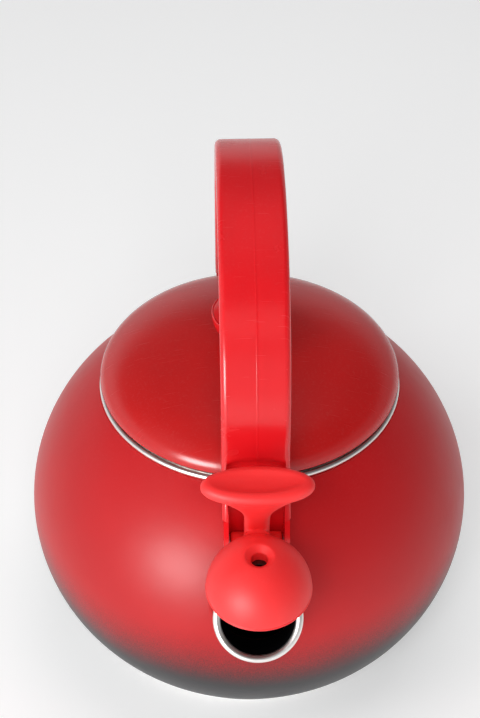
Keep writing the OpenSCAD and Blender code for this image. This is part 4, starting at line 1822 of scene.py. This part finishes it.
@dataclass(frozen=True)
class Viewpoint:
    """Camera that looks down on the spout's side.

    Attributes:
        azimuth: Turn from the front, in degrees.
        elevation: Angle above level, in degrees.
        distance: Distance from the belly's centre.
        lens: Focal length in millimetres on a 36 mm long side.
        aim: Point in the middle of the picture.
    """

    azimuth: float = -2.0
    elevation: float = 44.83
    distance: float = 0.84
    lens: float = 85.4
    aim: tuple[float, float, float] = (-0.0044, 0.0, 0.1572)

    def build(self, belly_z: float) -> bpy.types.Object:
        """Makes the scene's camera.

        Args:
            belly_z: Height of the belly's centre.

        Returns:
            The camera.
        """
        a, e = math.radians(self.azimuth), math.radians(self.elevation)
        back = Vector((math.sin(a) * math.cos(e), -math.cos(a) * math.cos(e), math.sin(e)))
        data = bpy.data.cameras.new("camera")
        data.lens = self.lens
        data.sensor_width = 36.0
        camera = bpy.data.objects.new("camera", data)
        camera.location = Vector((0, 0, belly_z)) + back * self.distance
        camera.rotation_mode = "QUATERNION"
        camera.rotation_quaternion = (Vector(self.aim) - camera.location).to_track_quat("-Z", "Y")
        bpy.context.scene.collection.objects.link(camera)
        bpy.context.scene.camera = camera
        return camera


@dataclass(frozen=True)
class Softbox:
    """Rectangular light that faces a point.

    Attributes:
        name: Name of the light.
        place: Where it stands.
        size: Width and height.
        power: Power in watts.
        reach: What it acts on.
        target: Point that it faces.
    """

    name: str
    place: tuple[float, float, float]
    size: tuple[float, float]
    power: float
    reach: Reach
    target: tuple[float, float, float] = (0.0, 0.0, 0.1)

    def build(self) -> None:
        """Makes the light."""
        data = bpy.data.lights.new(self.name, "AREA")
        data.shape = "RECTANGLE"
        data.size, data.size_y = self.size
        data.energy = self.power
        lamp = bpy.data.objects.new(self.name, data)
        lamp.location = self.place
        lamp.visible_glossy = self.reach is not Reach.DIFFUSE
        lamp.visible_diffuse = self.reach is not Reach.SHEEN
        lamp.rotation_mode = "QUATERNION"
        lamp.rotation_quaternion = (Vector(self.target) - Vector(self.place)).to_track_quat("-Z", "Y")
        bpy.context.scene.collection.objects.link(lamp)


@dataclass
class Studio:
    """Pale floor, surroundings and soft lights.

    Attributes:
        floor_half: Half width of the floor.
        floor_tone: Grey of the floor.
        floor_glow: Light that the floor gives off itself, as a light table does.
        horizon: Brightness of the surroundings near the horizon and below it.
        zenith: Brightness of the surroundings overhead.
        lean: How much stronger the left is than the right.
        lights: The soft lights.
    """

    floor_half: float = 4.0
    floor_tone: float = 0.9
    floor_glow: float = 0.27
    horizon: float = 0.66
    zenith: float = 0.14
    lean: float = 0.45
    lights: tuple[Softbox, ...] = (
        Softbox("low_key", (-0.80, -1.15, 0.30), (0.7, 0.6), 5.0, Reach.DIFFUSE),
        Softbox("low_sheen", (-0.80, -1.15, 0.28), (0.60, 0.5), 19.0, Reach.SHEEN),
        Softbox("high_key", (-1.5, -0.7, 1.5), (1.0, 1.0), 8.0, Reach.DIFFUSE),
        Softbox("front", (-0.15, -1.35, 1.3), (0.8, 0.6), 13.0, Reach.DIFFUSE),
        Softbox("top", (0.2, 0.3, 1.8), (1.2, 1.2), 6.5, Reach.DIFFUSE),
    )

    def build(self) -> None:
        """Makes floor, surroundings and lights."""
        self._floor()
        self._surroundings()
        for light in self.lights:
            light.build()

    def _floor(self) -> None:
        """Plain pale floor just under the kettle."""
        span = np.linspace(-self.floor_half, self.floor_half, 3)
        x, y = np.meshgrid(span, span, indexing="ij")
        grid = Grid(np.stack([x, y, np.full_like(x, -0.02 * MM)], axis=2), wrap_columns=False)
        floor = make_piece("floor", [grid])
        material = bpy.data.materials.new("pale_floor")
        material.use_nodes = True
        shader = material.node_tree.nodes["Principled BSDF"]
        shader.inputs["Base Color"].default_value = (self.floor_tone,) * 3 + (1.0,)
        shader.inputs["Roughness"].default_value = 0.65
        shader.inputs["Specular IOR Level"].default_value = 0.2
        shader.inputs["Emission Color"].default_value = (1.0, 1.0, 1.0, 1.0)
        shader.inputs["Emission Strength"].default_value = self.floor_glow
        floor.data.materials.append(material)

    def _surroundings(self) -> None:
        """Pale light that is bright near the horizon, stronger from the left and dim overhead.

        With z the height of a direction and x its share to the right, the strength runs smoothly
        from horizon to zenith as z passes from 0.25 to 0.5, times 1 less the lean times x.
        """
        world = bpy.data.worlds.new("surroundings")
        world.use_nodes = True
        graph = Graph(world.node_tree)
        shade = world.node_tree.nodes["Background"]
        parts = graph.add("SeparateXYZ", {0: graph.add("TexCoord").outputs["Generated"]}).outputs
        level = graph.ramp(parts["Z"], 0.25, 0.5, self.horizon, self.zenith)
        side = graph.math("SUBTRACT", 1.0, graph.math("MULTIPLY", parts["X"], self.lean))
        shade.inputs["Color"].default_value = (0.98, 0.985, 1.0, 1.0)
        graph.tree.links.new(graph.math("MULTIPLY", level, side), shade.inputs["Strength"])
        bpy.context.scene.world = world
        bpy.context.scene.view_settings.view_transform = "Standard"


def main() -> None:
    """Builds the kettle's looks in order and reports each step."""
    logging.basicConfig(level=logging.INFO, format="%(message)s")
    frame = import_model()
    layout = Layout.read(frame)
    log.info("layout: %s", layout)
    make_groups()
    Vessel(layout).build()
    Lid.read().build()
    Handle.read().build()
    lever_low, lever_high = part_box("thumb_lever")
    Lever(layout, width=lever_high.x - lever_low.x).build()
    Whistle(layout).build()
    for kept in KEPT:
        kept.apply(frame)
    Studio().build()
    Viewpoint().build(layout.belly_z)
    log.info("done")


if __name__ == "__main__":
    main()
